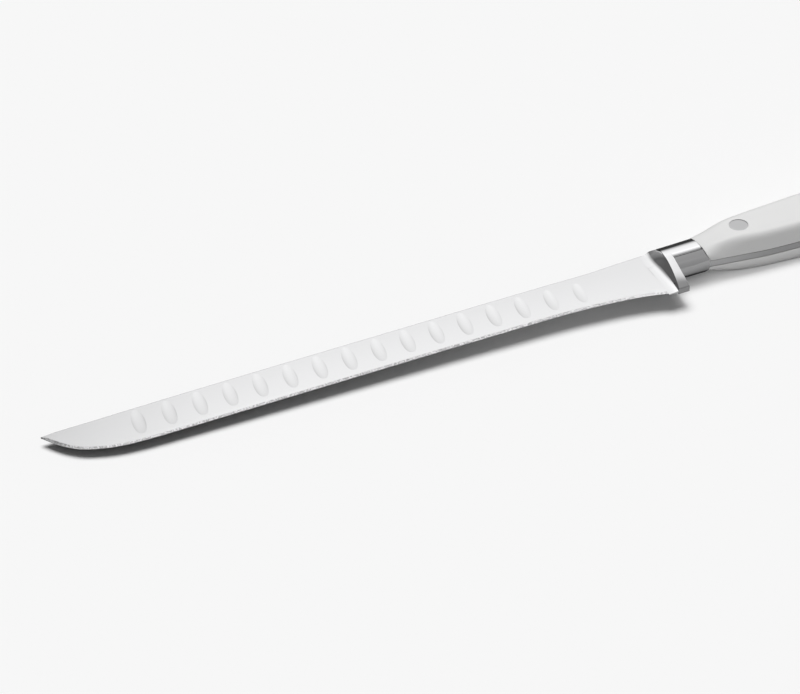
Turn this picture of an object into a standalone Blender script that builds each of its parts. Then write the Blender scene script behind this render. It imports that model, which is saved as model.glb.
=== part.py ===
"""Ham slicing knife: one forging (blade, finger guard, bolster, full tang), two scales, three rivets.

Metres, +Z up. The knife is drawn in its own straight frame: X runs from the tip (-X) to the butt (+X) with
X = 0 at the front of the finger guard, +Y points to the spine, -Y to the cutting edge, and Z = 0 is the
blade's middle plane. An empty then lays the knife on the flat side of its lower scale, with the scene's
origin on that flat side.
"""
import math
from typing import NamedTuple

import bmesh
import bpy
from mathutils import Matrix, Vector

# Blade
BLADE_LENGTH = 0.250
BLADE_WIDTH = 0.0188
HEEL_WIDTH = 0.0268
HEEL_FLARE_LENGTH = 0.060
HEEL_FLARE_POWER = 2.6
HEEL_CORNER_LENGTH = 0.0014
HEEL_TUCK = 0.0002
TIP_CURVE_LENGTH = 0.045
TIP_CURVE_POWER = 4.5
TIP_BLUNT_WIDTH = 0.0003
SPINE_LINE = 0.0080
SPINE_THICKNESS = 0.0022
TIP_THICKNESS = 0.0016
HEEL_SHOULDER_THICKNESS = 0.0003496
EDGE_BEVEL_WIDTH = 0.0011
EDGE_THICKNESS = 0.00012

# Oval hollows, in a row on each side of the blade
HOLLOW_COUNT = 16
HOLLOW_LENGTH = 0.0134
HOLLOW_WIDTH = 0.0056
HOLLOW_DEPTH = 0.00032
HOLLOW_BELOW_SPINE = 0.0084
HOLLOW_LEAN = math.radians(8.0)
FIRST_HOLLOW_TO_TIP = 0.0353
LAST_HOLLOW_TO_GUARD = 0.0359
FAR_SIDE_SHIFT = 0.5

# Finger guard and bolster
GUARD_FOOT_X = -0.0004
GUARD_TOP_X = 0.0019
GUARD_BACK_X = 0.0046
GUARD_FOOT_LEAN = 0.052
GUARD_TOP_LEAN = 0.137
GUARD_BACK_LEAN = 0.097
GUARD_REACH = 0.0169
GUARD_END_THICKNESS = 0.0028
GUARD_SPINE_RISE = 0.0002
BOLSTER_LENGTH = 0.0182
BOLSTER_THICKNESS = 0.0096
BOLSTER_REAR_THICKNESS = 0.0095
BOLSTER_CREASE_Y = -0.0024
BOLSTER_CREASE_DROP = 0.0007
NECK_SPINE_INSET = 0.0020
NECK_BELLY_INSET = 0.0006
BLADE_INTO_GUARD = 0.0012

# Tang and handle outline, seen from the side
TANG_THICKNESS = 0.0026
SCALE_LENGTH = 0.1150
NECK_TO_SPINE = 0.0088
NECK_TO_BELLY = 0.0072
CROWN_TO_SPINE = 0.0118
BUTT_TO_SPINE = 0.0102
SWELL_TO_BELLY = 0.0119
WAIST_TO_BELLY = 0.0110
BUTT_TO_BELLY = 0.0160
BUTT_RADIUS = 0.0065

# Scales, seen end on
SCALE_FRONT_THICKNESS = 0.0166
SCALE_TAPER = math.radians(1.0)
SCALE_RISE_LENGTH = 0.0150
SHOULDER_INSET = 0.0023
BELLY_INSET = 0.0017
SPINE_INSET = 0.0020
BUTT_EDGE_RADIUS = 0.0020

# Rivets
RIVET_HEAD_DIAMETER = 0.0075
RIVET_HEAD_DEPTH = 0.0026
RIVET_SHANK_DIAMETER = 0.0050
RIVET_BORE_DIAMETER = 0.0030
RIVET_ENGAGEMENT = 0.0040
RIVET_SUNK = 0.0001
RIVET_LINE_Y = 0.0005
FRONT_RIVET_FROM_BOLSTER = 0.0168
REAR_RIVET_FROM_BUTT = 0.0200
RIVET_SIDES = 28

# Fits
SEAM = 0.0003
RIVET_CLEARANCE = 0.0003
SOCKET_CLEARANCE = 0.0003

# The rest point on the lower scale, behind the bolster
REST_FROM_BOLSTER = 0.0368

# Materials: colour, roughness, metallic
STEEL = ("forged_steel", (0.72, 0.72, 0.73), 0.28, 1.0)
WHITE = ("white_moulded_scale", (0.80, 0.80, 0.80), 0.35, 0.0)
RIVET = ("rivet_metal", (0.56, 0.56, 0.57), 0.38, 1.0)

# Derived: the butt's place, the slope of the ground sides, and the hollows' pitch along the blade
BUTT_X = BOLSTER_LENGTH + SCALE_LENGTH
GRIND_DROP = 0.5 * (SPINE_THICKNESS - HEEL_SHOULDER_THICKNESS) / (HEEL_WIDTH - EDGE_BEVEL_WIDTH)
HOLLOW_PITCH = (BLADE_LENGTH - FIRST_HOLLOW_TO_TIP - LAST_HOLLOW_TO_GUARD) / (HOLLOW_COUNT - 1)


def clear_scene() -> None:
    """Remove every object that the file opened with."""
    for obj in list(bpy.data.objects):
        bpy.data.objects.remove(obj, do_unlink=True)


def lerp(a: float, b: float, t: float) -> float:
    """Straight mix of two values."""
    return a + (b - a) * t


def smooth(t: float) -> float:
    """Ease from 0 to 1 with level ends."""
    t = max(0.0, min(1.0, t))
    return t * t * (3.0 - 2.0 * t)


def flow(stations: list[tuple[float, float]], x: float) -> float:
    """Smooth curve through (place, value) stations, with no overshoot between them."""
    if x <= stations[0][0]:
        return stations[0][1]
    if x >= stations[-1][0]:
        return stations[-1][1]
    slopes = [(b[1] - a[1]) / (b[0] - a[0]) for a, b in zip(stations, stations[1:])]
    tangents = [slopes[0]]
    for before, after in zip(slopes, slopes[1:]):
        tangents.append(0.0 if before * after <= 0.0 else 2.0 * before * after / (before + after))
    tangents.append(slopes[-1])
    index = 0
    while x > stations[index + 1][0]:
        index += 1
    (x0, y0), (x1, y1) = stations[index], stations[index + 1]
    run = x1 - x0
    t = (x - x0) / run
    start = (2 * t ** 3 - 3 * t ** 2 + 1) * y0 + (t ** 3 - 2 * t ** 2 + t) * run * tangents[index]
    end = (3 * t ** 2 - 2 * t ** 3) * y1 + (t ** 3 - t ** 2) * run * tangents[index + 1]
    return start + end


def new_material(spec: tuple) -> bpy.types.Material:
    """Principled material from (name, colour, roughness, metallic), made once per name."""
    name, colour, roughness, metallic = spec
    material = bpy.data.materials.get(name)
    if material is None:
        material = bpy.data.materials.new(name)
        material.use_nodes = True
        shader = material.node_tree.nodes["Principled BSDF"]
        shader.inputs["Base Color"].default_value = (*colour, 1.0)
        shader.inputs["Roughness"].default_value = roughness
        shader.inputs["Metallic"].default_value = metallic
    return material


def new_object(name: str, bm: bmesh.types.BMesh, spec: tuple, parent: bpy.types.Object) -> bpy.types.Object:
    """Close a bmesh into a named object with outward faces, its material and its parent."""
    bmesh.ops.remove_doubles(bm, verts=bm.verts, dist=1e-6)
    bmesh.ops.recalc_face_normals(bm, faces=bm.faces)
    mesh = bpy.data.meshes.new(name)
    bm.to_mesh(mesh)
    bm.free()
    mesh.materials.append(new_material(spec))
    mesh.shade_smooth()
    mesh.set_sharp_from_angle(angle=math.radians(25.0))
    obj = bpy.data.objects.new(name, mesh)
    bpy.context.scene.collection.objects.link(obj)
    obj.parent = parent
    return obj


def skin(bm: bmesh.types.BMesh, rings: list[list[tuple[float, float, float]]]) -> None:
    """Stretch a closed skin over rings of points and cap both ends."""
    rows = [[bm.verts.new(point) for point in ring] for ring in rings]
    for near, far in zip(rows, rows[1:]):
        for i in range(len(near)):
            j = (i + 1) % len(near)
            bm.faces.new((near[i], near[j], far[j], far[i]))
    bm.faces.new(list(reversed(rows[0])))
    bm.faces.new(rows[-1])


def cut(target: bpy.types.Object, tool: bpy.types.Object, operation: str) -> None:
    """Add a Boolean modifier whose tool stays out of the model."""
    tool.hide_render = True
    tool.display_type = "WIRE"
    modifier = target.modifiers.new(tool.name, "BOOLEAN")
    modifier.operation = operation
    modifier.solver = "EXACT"
    modifier.object = tool


def turned(bm: bmesh.types.BMesh, profile: list[tuple[float, float]], centre: tuple[float, float]) -> None:
    """Turn a closed (radius, height) profile about an upright line through centre; radius 0 is on the axis."""
    rows = []
    for radius, height in profile:
        if radius == 0.0:
            rows.append([bm.verts.new((centre[0], centre[1], height))])
            continue
        row = []
        for k in range(RIVET_SIDES):
            angle = 2.0 * math.pi * k / RIVET_SIDES
            row.append(bm.verts.new((centre[0] + radius * math.cos(angle),
                                     centre[1] + radius * math.sin(angle), height)))
        rows.append(row)
    for a, b in zip(rows, rows[1:]):
        for k in range(RIVET_SIDES):
            n = (k + 1) % RIVET_SIDES
            corners = [a[k % len(a)], a[n % len(a)], b[n % len(b)], b[k % len(b)]]
            unique = list(dict.fromkeys(corners))
            if len(unique) > 2:
                bm.faces.new(unique)


# Blade outline and thickness


def blade_half_thickness(x: float, y: float) -> float:
    """Half the blade's thickness between its flat ground sides, thinner towards the tip and the edge."""
    taper = (SPINE_THICKNESS - TIP_THICKNESS) / BLADE_LENGTH
    return 0.5 * (SPINE_THICKNESS + taper * x) - GRIND_DROP * (SPINE_LINE - y)


def blade_width(x: float) -> float:
    """Width from spine to edge at x, from the curved-up tip to the flared heel."""
    from_tip = x + BLADE_LENGTH
    body = BLADE_WIDTH
    if from_tip < TIP_CURVE_LENGTH:
        share = 1.0 - (1.0 - from_tip / TIP_CURVE_LENGTH) ** TIP_CURVE_POWER
        body = lerp(TIP_BLUNT_WIDTH, BLADE_WIDTH, share)
    if -x < HEEL_FLARE_LENGTH:
        body += (HEEL_WIDTH - BLADE_WIDTH) * (1.0 + min(x, 0.0) / HEEL_FLARE_LENGTH) ** HEEL_FLARE_POWER
    return body


def blade_edge(x: float) -> float:
    """Y of the cutting edge at x, with the heel's corner rounded up into the end of the guard."""
    edge = SPINE_LINE - blade_width(x)
    share = min(1.0, max(0.0, (x - heel_corner_x()) / HEEL_CORNER_LENGTH))
    rise = HEEL_WIDTH - SPINE_LINE - GUARD_REACH + HEEL_TUCK
    return edge + rise * (1.0 - math.sqrt(1.0 - share * share))


def heel_corner_x() -> float:
    """X where the heel's rounded corner starts, so that it ends at the guard's foot."""
    return guard_x(GUARD_FOOT_X, GUARD_FOOT_LEAN, -GUARD_REACH) - HEEL_CORNER_LENGTH


def blade_rings() -> list[list[tuple[float, float, float]]]:
    """Six-point rings from the tip to inside the guard: spine pair, bevel shoulder pair, edge pair."""
    tip = -BLADE_LENGTH
    places = [tip + TIP_CURVE_LENGTH * (k / 14.0) ** 2 for k in range(15)]
    straight_end = -HEEL_FLARE_LENGTH
    places += [lerp(tip + TIP_CURVE_LENGTH, straight_end, k / 8.0) for k in range(1, 9)]
    corner = heel_corner_x()
    places += [lerp(straight_end, corner, math.sin(0.5 * math.pi * k / 14.0)) for k in range(1, 15)]
    places += [corner + HEEL_CORNER_LENGTH * math.sin(0.5 * math.pi * k / 4.0) for k in range(1, 5)]
    places.append(GUARD_FOOT_X + BLADE_INTO_GUARD)
    rings = []
    for x in places:
        edge = blade_edge(x)
        slope = (blade_width(x + 1e-4) - blade_width(x - 1e-4)) / 2e-4 if x > tip + 1e-4 else 1.0
        bevel = min(EDGE_BEVEL_WIDTH * math.sqrt(1.0 + slope * slope), 0.6 * (SPINE_LINE - edge))
        shoulder = edge + bevel
        half_spine = blade_half_thickness(x, SPINE_LINE)
        half_shoulder = blade_half_thickness(x, shoulder)
        half_edge = min(0.5 * EDGE_THICKNESS, 0.8 * half_shoulder)
        upper = [(x, SPINE_LINE, half_spine), (x, shoulder, half_shoulder), (x, edge, half_edge)]
        rings.append(upper + [(px, py, -pz) for px, py, pz in reversed(upper)])
    return rings


def hollow_centres(side: int) -> list[tuple[float, float]]:
    """Centres of one side's hollows; the far side's row is shifted by half a pitch to keep the blade strong."""
    shift = 0.0 if side > 0 else FAR_SIDE_SHIFT * HOLLOW_PITCH
    y = SPINE_LINE - HOLLOW_BELOW_SPINE
    return [(-LAST_HOLLOW_TO_GUARD + shift - k * HOLLOW_PITCH, y) for k in range(HOLLOW_COUNT)]


def make_hollow_cutters(parent: bpy.types.Object, side: int) -> bpy.types.Object:
    """Flat egg shapes that leave the ground hollows on one side of the blade."""
    bulge = 0.0012
    stand_off = bulge - HOLLOW_DEPTH
    spread = math.sqrt(1.0 - (stand_off / bulge) ** 2)
    bm = bmesh.new()
    for x, y in hollow_centres(side):
        surface = blade_half_thickness(x, y)
        place = Matrix.Translation((x, y, side * surface))
        place @= Matrix.Rotation(side * math.atan(GRIND_DROP), 4, "X")
        place @= Matrix.Translation((0.0, 0.0, side * stand_off))
        place @= Matrix.Rotation(-HOLLOW_LEAN, 4, "Z")
        size = Vector((0.5 * HOLLOW_WIDTH / spread, 0.5 * HOLLOW_LENGTH / spread, bulge))
        place @= Matrix.Diagonal((*size, 1.0))
        bmesh.ops.create_uvsphere(bm, u_segments=14, v_segments=12, radius=1.0, matrix=place)
    name = "hollow_cutter_near" if side > 0 else "hollow_cutter_far"
    return new_object(name, bm, STEEL, parent)


# Handle outline and thickness, shared by the tang and the scales


def spine_outline(x: float) -> float:
    """Y of the handle's spine side at x: neck, crown and butt."""
    y = flow([(BOLSTER_LENGTH, NECK_TO_SPINE),
              (BOLSTER_LENGTH + 0.24 * SCALE_LENGTH, lerp(NECK_TO_SPINE, CROWN_TO_SPINE, 0.68)),
              (BOLSTER_LENGTH + 0.50 * SCALE_LENGTH, CROWN_TO_SPINE),
              (BUTT_X, BUTT_TO_SPINE)], x)
    into = x - (BUTT_X - BUTT_RADIUS)
    if into > 0.0:
        y -= BUTT_RADIUS * (1.0 - math.sqrt(max(0.0, 1.0 - (into / BUTT_RADIUS) ** 2)))
    return y


def belly_outline(x: float) -> float:
    """Y of the handle's belly side at x: neck, swell, waist and the hooked butt."""
    y = -flow([(BOLSTER_LENGTH, NECK_TO_BELLY),
               (BOLSTER_LENGTH + 0.14 * SCALE_LENGTH, lerp(NECK_TO_BELLY, SWELL_TO_BELLY, 0.52)),
               (BOLSTER_LENGTH + 0.22 * SCALE_LENGTH, lerp(NECK_TO_BELLY, SWELL_TO_BELLY, 0.78)),
               (BOLSTER_LENGTH + 0.44 * SCALE_LENGTH, SWELL_TO_BELLY),
               (BOLSTER_LENGTH + 0.68 * SCALE_LENGTH, WAIST_TO_BELLY),
               (BUTT_X - BUTT_RADIUS, BUTT_TO_BELLY),
               (BUTT_X, BUTT_TO_BELLY)], x)
    into = x - (BUTT_X - BUTT_RADIUS)
    if into > 0.0:
        y += BUTT_RADIUS * (1.0 - math.sqrt(max(0.0, 1.0 - (into / BUTT_RADIUS) ** 2)))
    return y


def flat_start_x() -> float:
    """X where the scales' side faces become truly flat."""
    return BOLSTER_LENGTH + SCALE_RISE_LENGTH


def side_face(x: float) -> float:
    """Height of the scale's flat side face over the middle plane, before any rounding at its ends."""
    return 0.5 * SCALE_FRONT_THICKNESS + (x - flat_start_x()) * math.tan(SCALE_TAPER)


def scale_half_thickness(x: float) -> float:
    """Height of the scale over the middle plane at x: rise from the bolster, flat face, rounded butt edge."""
    t = (x - BOLSTER_LENGTH) / SCALE_RISE_LENGTH
    rise = 1.0 - (1.0 - max(0.0, min(1.0, t))) ** 1.8
    height = lerp(0.5 * BOLSTER_REAR_THICKNESS, side_face(x), rise)
    into = x - (BUTT_X - BUTT_EDGE_RADIUS)
    if into > 0.0:
        height -= BUTT_EDGE_RADIUS * (1.0 - math.sqrt(max(0.0, 1.0 - (into / BUTT_EDGE_RADIUS) ** 2)))
    return height


def bend(start: tuple[float, float], corner: tuple[float, float], end: tuple[float, float],
         steps: int) -> list[tuple[float, float]]:
    """Points along a soft corner."""
    points = []
    for k in range(steps + 1):
        t = k / steps
        a = (1.0 - t) ** 2
        b = 2.0 * t * (1.0 - t)
        c = t * t
        points.append(tuple(a * p + b * q + c * r for p, q, r in zip(start, corner, end)))
    return points


class Corners(NamedTuple):
    """How a section turns from its face into its spine wall and its belly wall."""

    spine_inset: float
    spine_share: float
    spine_run: float
    belly_inset: float
    belly_share: float
    belly_run: float
    belly_drop: float


NECK_CORNERS = Corners(NECK_SPINE_INSET, 0.96, 0.0050, NECK_BELLY_INSET, 0.97, 0.0042, BOLSTER_CREASE_DROP)


def half_section(spine: tuple[float, float], belly: tuple[float, float], height: float,
                 corners: Corners) -> list[tuple[float, float]]:
    """Upper half of an end-on section as (y, z) points from the spine side's foot to the belly side's foot.

    spine and belly are the feet. An inset is how far a corner sits inside its foot, a share is the part of the
    wall that the soft corner takes, a run is how far it goes on to the face, and the drop lowers the belly's
    corner.
    """
    spine_corner = (spine[0] - corners.spine_inset, height)
    belly_corner = (belly[0] + corners.belly_inset, height - corners.belly_drop)
    spine_wall = tuple(lerp(a, b, corners.spine_share) for a, b in zip(spine_corner, spine))
    belly_wall = tuple(lerp(a, b, corners.belly_share) for a, b in zip(belly_corner, belly))
    points = [spine]
    points += bend(spine_wall, spine_corner, (spine_corner[0] - corners.spine_run, height), 5)
    points += bend((belly_corner[0] + corners.belly_run, height), belly_corner, belly_wall, 4)
    points.append(belly)
    return points


def handle_corners(x: float) -> Corners:
    """Corners along the handle: the bolster's at its front, then the soft, wide ones of the scales."""
    offset = (x - BOLSTER_LENGTH) / SCALE_RISE_LENGTH
    rise = smooth(offset / 1.2)
    early = smooth(offset / 0.4)
    belly_inset = flow([(0.0, NECK_BELLY_INSET), (0.4, SHOULDER_INSET),
                        (1.3, lerp(SHOULDER_INSET, BELLY_INSET, 0.35)), (2.6, BELLY_INSET)], offset)
    return Corners(spine_inset=lerp(NECK_SPINE_INSET, SPINE_INSET, rise),
                   spine_share=lerp(0.96, 0.55, rise),
                   spine_run=lerp(0.0050, 0.0034, rise),
                   belly_inset=belly_inset,
                   belly_share=lerp(0.97, 0.42, rise),
                   belly_run=lerp(0.0042, 0.0022, early),
                   belly_drop=lerp(BOLSTER_CREASE_DROP, 0.0, early))


def handle_section(x: float, foot: float) -> list[tuple[float, float]]:
    """The handle's upper half section at x, with the wall's feet at height foot."""
    return half_section((spine_outline(x), foot), (belly_outline(x), foot),
                        scale_half_thickness(x), handle_corners(x))


def handle_places() -> list[float]:
    """X stations along the handle: close in the rise and at the rounded butt, wide on the flat."""
    places = [lerp(BOLSTER_LENGTH, flat_start_x(), k / 7.0) for k in range(8)]
    last_straight = BUTT_X - BUTT_RADIUS
    places += [lerp(flat_start_x(), last_straight, k / 13.0) for k in range(1, 14)]
    places += [last_straight + BUTT_RADIUS * math.sin(0.5 * math.pi * k / 8.0) for k in range(1, 9)]
    return places


def mirrored(x_of_y, half: list[tuple[float, float]]) -> list[tuple[float, float, float]]:
    """Whole ring from an upper half section, with its x taken from y."""
    upper = [(x_of_y(y), y, z) for y, z in half]
    return upper + [(x, y, -z) for x, y, z in reversed(upper)]


# The forging


def guard_x(base: float, lean: float, y: float) -> float:
    """X of a leaning guard line at y; base is its x at the spine line for the foot, else near the crease."""
    return base + lean * (y - SPINE_LINE)


def guard_half_section(share: float) -> list[tuple[float, float]]:
    """Upper half section of the finger guard; share 0 is its foot on the blade and 1 its full height."""
    spine_y = SPINE_LINE + GUARD_SPINE_RISE
    half = 0.5 * BOLSTER_THICKNESS
    belly_y = -GUARD_REACH
    corners = NECK_CORNERS._replace(belly_inset=BOLSTER_CREASE_Y - belly_y, belly_share=0.02,
                                    belly_run=0.0003, belly_drop=0.0)
    full = half_section((spine_y, 0.5 * TANG_THICKNESS), (belly_y, 0.5 * GUARD_END_THICKNESS), half, corners)
    over = 0.00005
    return [(y, lerp(blade_half_thickness(0.0, min(y, SPINE_LINE)) + over, z, share)) for y, z in full]


def forging_rings() -> list[list[tuple[float, float, float]]]:
    """Rings of the guard, the bolster's neck and the tang, from the guard's foot to the butt."""
    rings = []
    for k in range(5):
        angle = 0.5 * math.pi * k / 4.0
        forward = math.sin(angle)
        base = lerp(GUARD_FOOT_X, GUARD_TOP_X, forward)
        lean = lerp(GUARD_FOOT_LEAN, GUARD_TOP_LEAN, forward)
        half = guard_half_section(1.0 - math.cos(angle))
        rings.append(mirrored(lambda y, b=base, s=lean: guard_x(b, s, y), half))

    def back(y: float) -> float:
        return GUARD_BACK_X + GUARD_BACK_LEAN * (y - BOLSTER_CREASE_Y)

    rings.append(mirrored(back, guard_half_section(1.0)))
    neck_places = [GUARD_BACK_X, lerp(GUARD_BACK_X, BOLSTER_LENGTH, 0.5), BOLSTER_LENGTH]
    for x in neck_places:
        t = (x - GUARD_BACK_X) / (BOLSTER_LENGTH - GUARD_BACK_X)
        spine_y = lerp(SPINE_LINE + GUARD_SPINE_RISE, NECK_TO_SPINE, t)
        height = 0.5 * lerp(BOLSTER_THICKNESS, BOLSTER_REAR_THICKNESS, t)
        half = half_section((spine_y, 0.5 * TANG_THICKNESS), (-NECK_TO_BELLY, 0.5 * TANG_THICKNESS), height,
                            NECK_CORNERS)
        rings.append(mirrored(back if t == 0.0 else (lambda y, at=x: at), half))
    for x in handle_places():
        half = [(y, min(z, 0.5 * TANG_THICKNESS)) for y, z in handle_section(x, 0.5 * TANG_THICKNESS)]
        rings.append(mirrored(lambda y, at=x: at, half))
    return rings


def make_forging(parent: bpy.types.Object) -> bpy.types.Object:
    """Blade, guard, bolster and tang as one body, with its hollows and rivet holes."""
    bm = bmesh.new()
    skin(bm, forging_rings())
    forging = new_object("blade_bolster_tang", bm, STEEL, parent)
    bm = bmesh.new()
    skin(bm, blade_rings())
    blade = new_object("blade_stock", bm, STEEL, parent)
    cut(forging, blade, "UNION")
    cut(forging, make_hollow_cutters(parent, 1), "DIFFERENCE")
    cut(forging, make_hollow_cutters(parent, -1), "DIFFERENCE")
    radius = 0.5 * RIVET_SHANK_DIAMETER + RIVET_CLEARANCE
    bm = bmesh.new()
    for place in rivet_places():
        drill(bm, place, radius, -TANG_THICKNESS, TANG_THICKNESS)
    cut(forging, new_object("tang_hole_cutter", bm, STEEL, parent), "DIFFERENCE")
    return forging


# Scales and rivets


def rivet_places() -> list[tuple[float, float]]:
    """Centres of the front, middle and rear rivets, evenly spaced along one line."""
    front = BOLSTER_LENGTH + FRONT_RIVET_FROM_BOLSTER
    rear = BUTT_X - REAR_RIVET_FROM_BUTT
    return [(lerp(front, rear, k / 2.0), RIVET_LINE_Y) for k in range(3)]


def drill(bm: bmesh.types.BMesh, centre: tuple[float, float], radius: float, low: float, high: float) -> None:
    """A plain round cutter between two heights."""
    turned(bm, [(0.0, low), (radius, low), (radius, high), (0.0, high)], centre)


def make_scale(name: str, side: int, parent: bpy.types.Object) -> bpy.types.Object:
    """One handle scale, over (side 1) or under (side -1) the tang, with its rivet seats."""
    foot = 0.5 * TANG_THICKNESS + SEAM
    places = handle_places()
    places[0] = BOLSTER_LENGTH + SEAM
    rings = [[(x, y, side * z) for y, z in handle_section(x, foot)] for x in places]
    bm = bmesh.new()
    skin(bm, rings)
    scale = new_object(name, bm, WHITE, parent)
    bm = bmesh.new()
    shank = 0.5 * RIVET_SHANK_DIAMETER + RIVET_CLEARANCE
    head = 0.5 * RIVET_HEAD_DIAMETER + RIVET_CLEARANCE
    for x, y in rivet_places():
        floor = side_face(x) - RIVET_SUNK - RIVET_HEAD_DEPTH - RIVET_CLEARANCE
        above = side_face(x) + BOLSTER_THICKNESS
        profile = [(0.0, 0.0), (shank, 0.0), (shank, side * floor), (head, side * floor),
                   (head, side * above), (0.0, side * above)]
        turned(bm, profile, (x, y))
    cut(scale, new_object(f"{name}_seat_cutter", bm, WHITE, parent), "DIFFERENCE")
    return scale


def make_rivet(name: str, centre: tuple[float, float], parent: bpy.types.Object) -> None:
    """One cutler's rivet: a socket half from above and a stud half pressed into it from below."""
    face = side_face(centre[0]) - RIVET_SUNK
    shoulder = face - RIVET_HEAD_DEPTH
    head = 0.5 * RIVET_HEAD_DIAMETER
    shank = 0.5 * RIVET_SHANK_DIAMETER
    bore = 0.5 * RIVET_BORE_DIAMETER
    pin = bore - SOCKET_CLEARANCE
    mouth = -shoulder + SOCKET_CLEARANCE
    bottom = mouth + RIVET_ENGAGEMENT + SOCKET_CLEARANCE
    bm = bmesh.new()
    turned(bm, [(0.0, face), (head, face), (head, shoulder), (shank, shoulder), (shank, mouth),
                (bore, mouth), (bore, bottom), (0.0, bottom)], centre)
    new_object(f"{name}_rivet_socket", bm, RIVET, parent)
    bm = bmesh.new()
    turned(bm, [(0.0, -face), (head, -face), (head, -shoulder), (pin, -shoulder),
                (pin, bottom - SOCKET_CLEARANCE), (0.0, bottom - SOCKET_CLEARANCE)], centre)
    new_object(f"{name}_rivet_stud", bm, RIVET, parent)


def make_knife() -> None:
    """Build every piece under one empty that lays the knife on its lower scale's flat side."""
    rest_x = BOLSTER_LENGTH + REST_FROM_BOLSTER
    turn = Matrix.Rotation(-SCALE_TAPER, 4, "Y")
    rest = turn @ Vector((rest_x, 0.0, -side_face(rest_x)))
    lay = bpy.data.objects.new("knife_on_its_side", None)
    bpy.context.scene.collection.objects.link(lay)
    lay.rotation_euler = turn.to_euler()
    lay.location = -rest
    make_forging(lay)
    make_scale("upper_scale", 1, lay)
    make_scale("lower_scale", -1, lay)
    for name, centre in zip(("front", "middle", "rear"), rivet_places()):
        make_rivet(name, centre, lay)
    bpy.context.view_layer.update()


clear_scene()
make_knife()
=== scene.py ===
"""Ham slicing knife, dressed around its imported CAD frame.

The knife's pieces are drawn in its own straight frame, where X runs from the tip (-X) to the butt (+X) with
X = 0 at the front of the finger guard, +Y points to the spine and Z = 0 is the blade's middle plane. Each
finished mesh is then laid on the side of the lower scale, in the frame that the CAD model uses. All sizes
are in metres.
"""
from __future__ import annotations

import logging
import math
from collections.abc import Callable, Sequence
from dataclasses import dataclass, field
from enum import Enum

import bmesh
import bpy
from mathutils import Matrix, Vector

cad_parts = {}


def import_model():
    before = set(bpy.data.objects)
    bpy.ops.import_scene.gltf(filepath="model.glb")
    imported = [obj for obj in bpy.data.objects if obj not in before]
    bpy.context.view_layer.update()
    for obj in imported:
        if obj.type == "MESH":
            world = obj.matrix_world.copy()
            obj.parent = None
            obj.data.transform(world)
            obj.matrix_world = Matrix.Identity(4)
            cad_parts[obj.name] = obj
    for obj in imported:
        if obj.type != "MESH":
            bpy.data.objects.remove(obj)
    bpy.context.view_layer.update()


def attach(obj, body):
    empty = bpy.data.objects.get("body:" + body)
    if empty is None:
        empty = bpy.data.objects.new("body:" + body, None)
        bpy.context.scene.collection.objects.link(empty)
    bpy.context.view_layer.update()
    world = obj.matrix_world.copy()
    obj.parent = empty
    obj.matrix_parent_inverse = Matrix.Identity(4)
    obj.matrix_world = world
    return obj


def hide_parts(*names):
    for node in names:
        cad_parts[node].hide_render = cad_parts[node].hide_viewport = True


LOG = logging.getLogger("ham_knife")
SHADER_TREE = "ShaderNodeTree"
GEOMETRY_TREE = "GeometryNodeTree"
DRAWN_MERGE = 1e-7
TURNED_MERGE = 1e-6
ROUND_SIDES = 96

Point2 = tuple[float, float]
Point3 = tuple[float, float, float]
Stations = tuple[Point2, ...]
Outline = list[Point2]
Ring = list[Point3]
Line = Callable[[float], float]
Build = Callable[["GraphMaker"], None]
Inputs = dict[str | int, object]
Object = bpy.types.Object
Material = bpy.types.Material
Tree = bpy.types.NodeTree
Socket = bpy.types.NodeSocket
Outputs = bpy.types.NodeOutputs


class Side(Enum):
    """Which side of the blade's middle plane a piece is on."""

    UPPER = 1
    LOWER = -1


class Slot(Enum):
    """The record's material slots."""

    STEEL = "forged_steel"
    WHITE = "white_scale"
    RIVET = "rivet_metal"


# Small curves and blends


def lerp(a: float, b: float, t: float) -> float:
    """Straight mix of two values."""
    return a + (b - a) * t


def mixed(a: Point2, b: Point2, t: float) -> Point2:
    """Straight mix of two points."""
    return lerp(a[0], b[0], t), lerp(a[1], b[1], t)


def held(t: float) -> float:
    """A share, held between 0 and 1."""
    return max(0.0, min(1.0, t))


def smooth(t: float) -> float:
    """Ease from 0 to 1 with level ends."""
    t = held(t)
    return t * t * (3.0 - 2.0 * t)


def quarter_drop(into: float, radius: float) -> float:
    """How far a rounded end has dropped.

    Args:
        into: Distance into the round.
        radius: The round's radius.

    Returns:
        The drop, 0 before the round.
    """
    if into <= 0.0:
        return 0.0
    return radius * (1.0 - math.sqrt(max(0.0, 1.0 - (into / radius) ** 2)))


def flow(stations: Sequence[Point2], x: float) -> float:
    """Smooth curve through stations, with no overshoot between them.

    Args:
        stations: (place, value) pairs in rising order of place.
        x: Where the curve is read.

    Returns:
        The curve's value at x.
    """
    if x <= stations[0][0]:
        return stations[0][1]
    if x >= stations[-1][0]:
        return stations[-1][1]
    slopes = [(b[1] - a[1]) / (b[0] - a[0]) for a, b in zip(stations, stations[1:])]
    tangents = [slopes[0]]
    for before, after in zip(slopes, slopes[1:]):
        tangents.append(0.0 if before * after <= 0.0 else 2.0 * before * after / (before + after))
    tangents.append(slopes[-1])
    index = 0
    while x > stations[index + 1][0]:
        index += 1
    (x0, y0), (x1, y1) = stations[index], stations[index + 1]
    run = x1 - x0
    t = (x - x0) / run
    start = (2 * t**3 - 3 * t**2 + 1) * y0 + (t**3 - 2 * t**2 + t) * run * tangents[index]
    end = (3 * t**2 - 2 * t**3) * y1 + (t**3 - t**2) * run * tangents[index + 1]
    return start + end


def even_steps(start: float, end: float, count: int) -> list[float]:
    """Even steps from one value to another, without the first."""
    return [lerp(start, end, k / count) for k in range(1, count + 1)]


def quarter_turn(count: int) -> list[Point2]:
    """(sine, cosine) at even steps of a quarter turn, both ends included."""
    angles = [0.5 * math.pi * k / count for k in range(count + 1)]
    return [(math.sin(angle), math.cos(angle)) for angle in angles]


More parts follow.
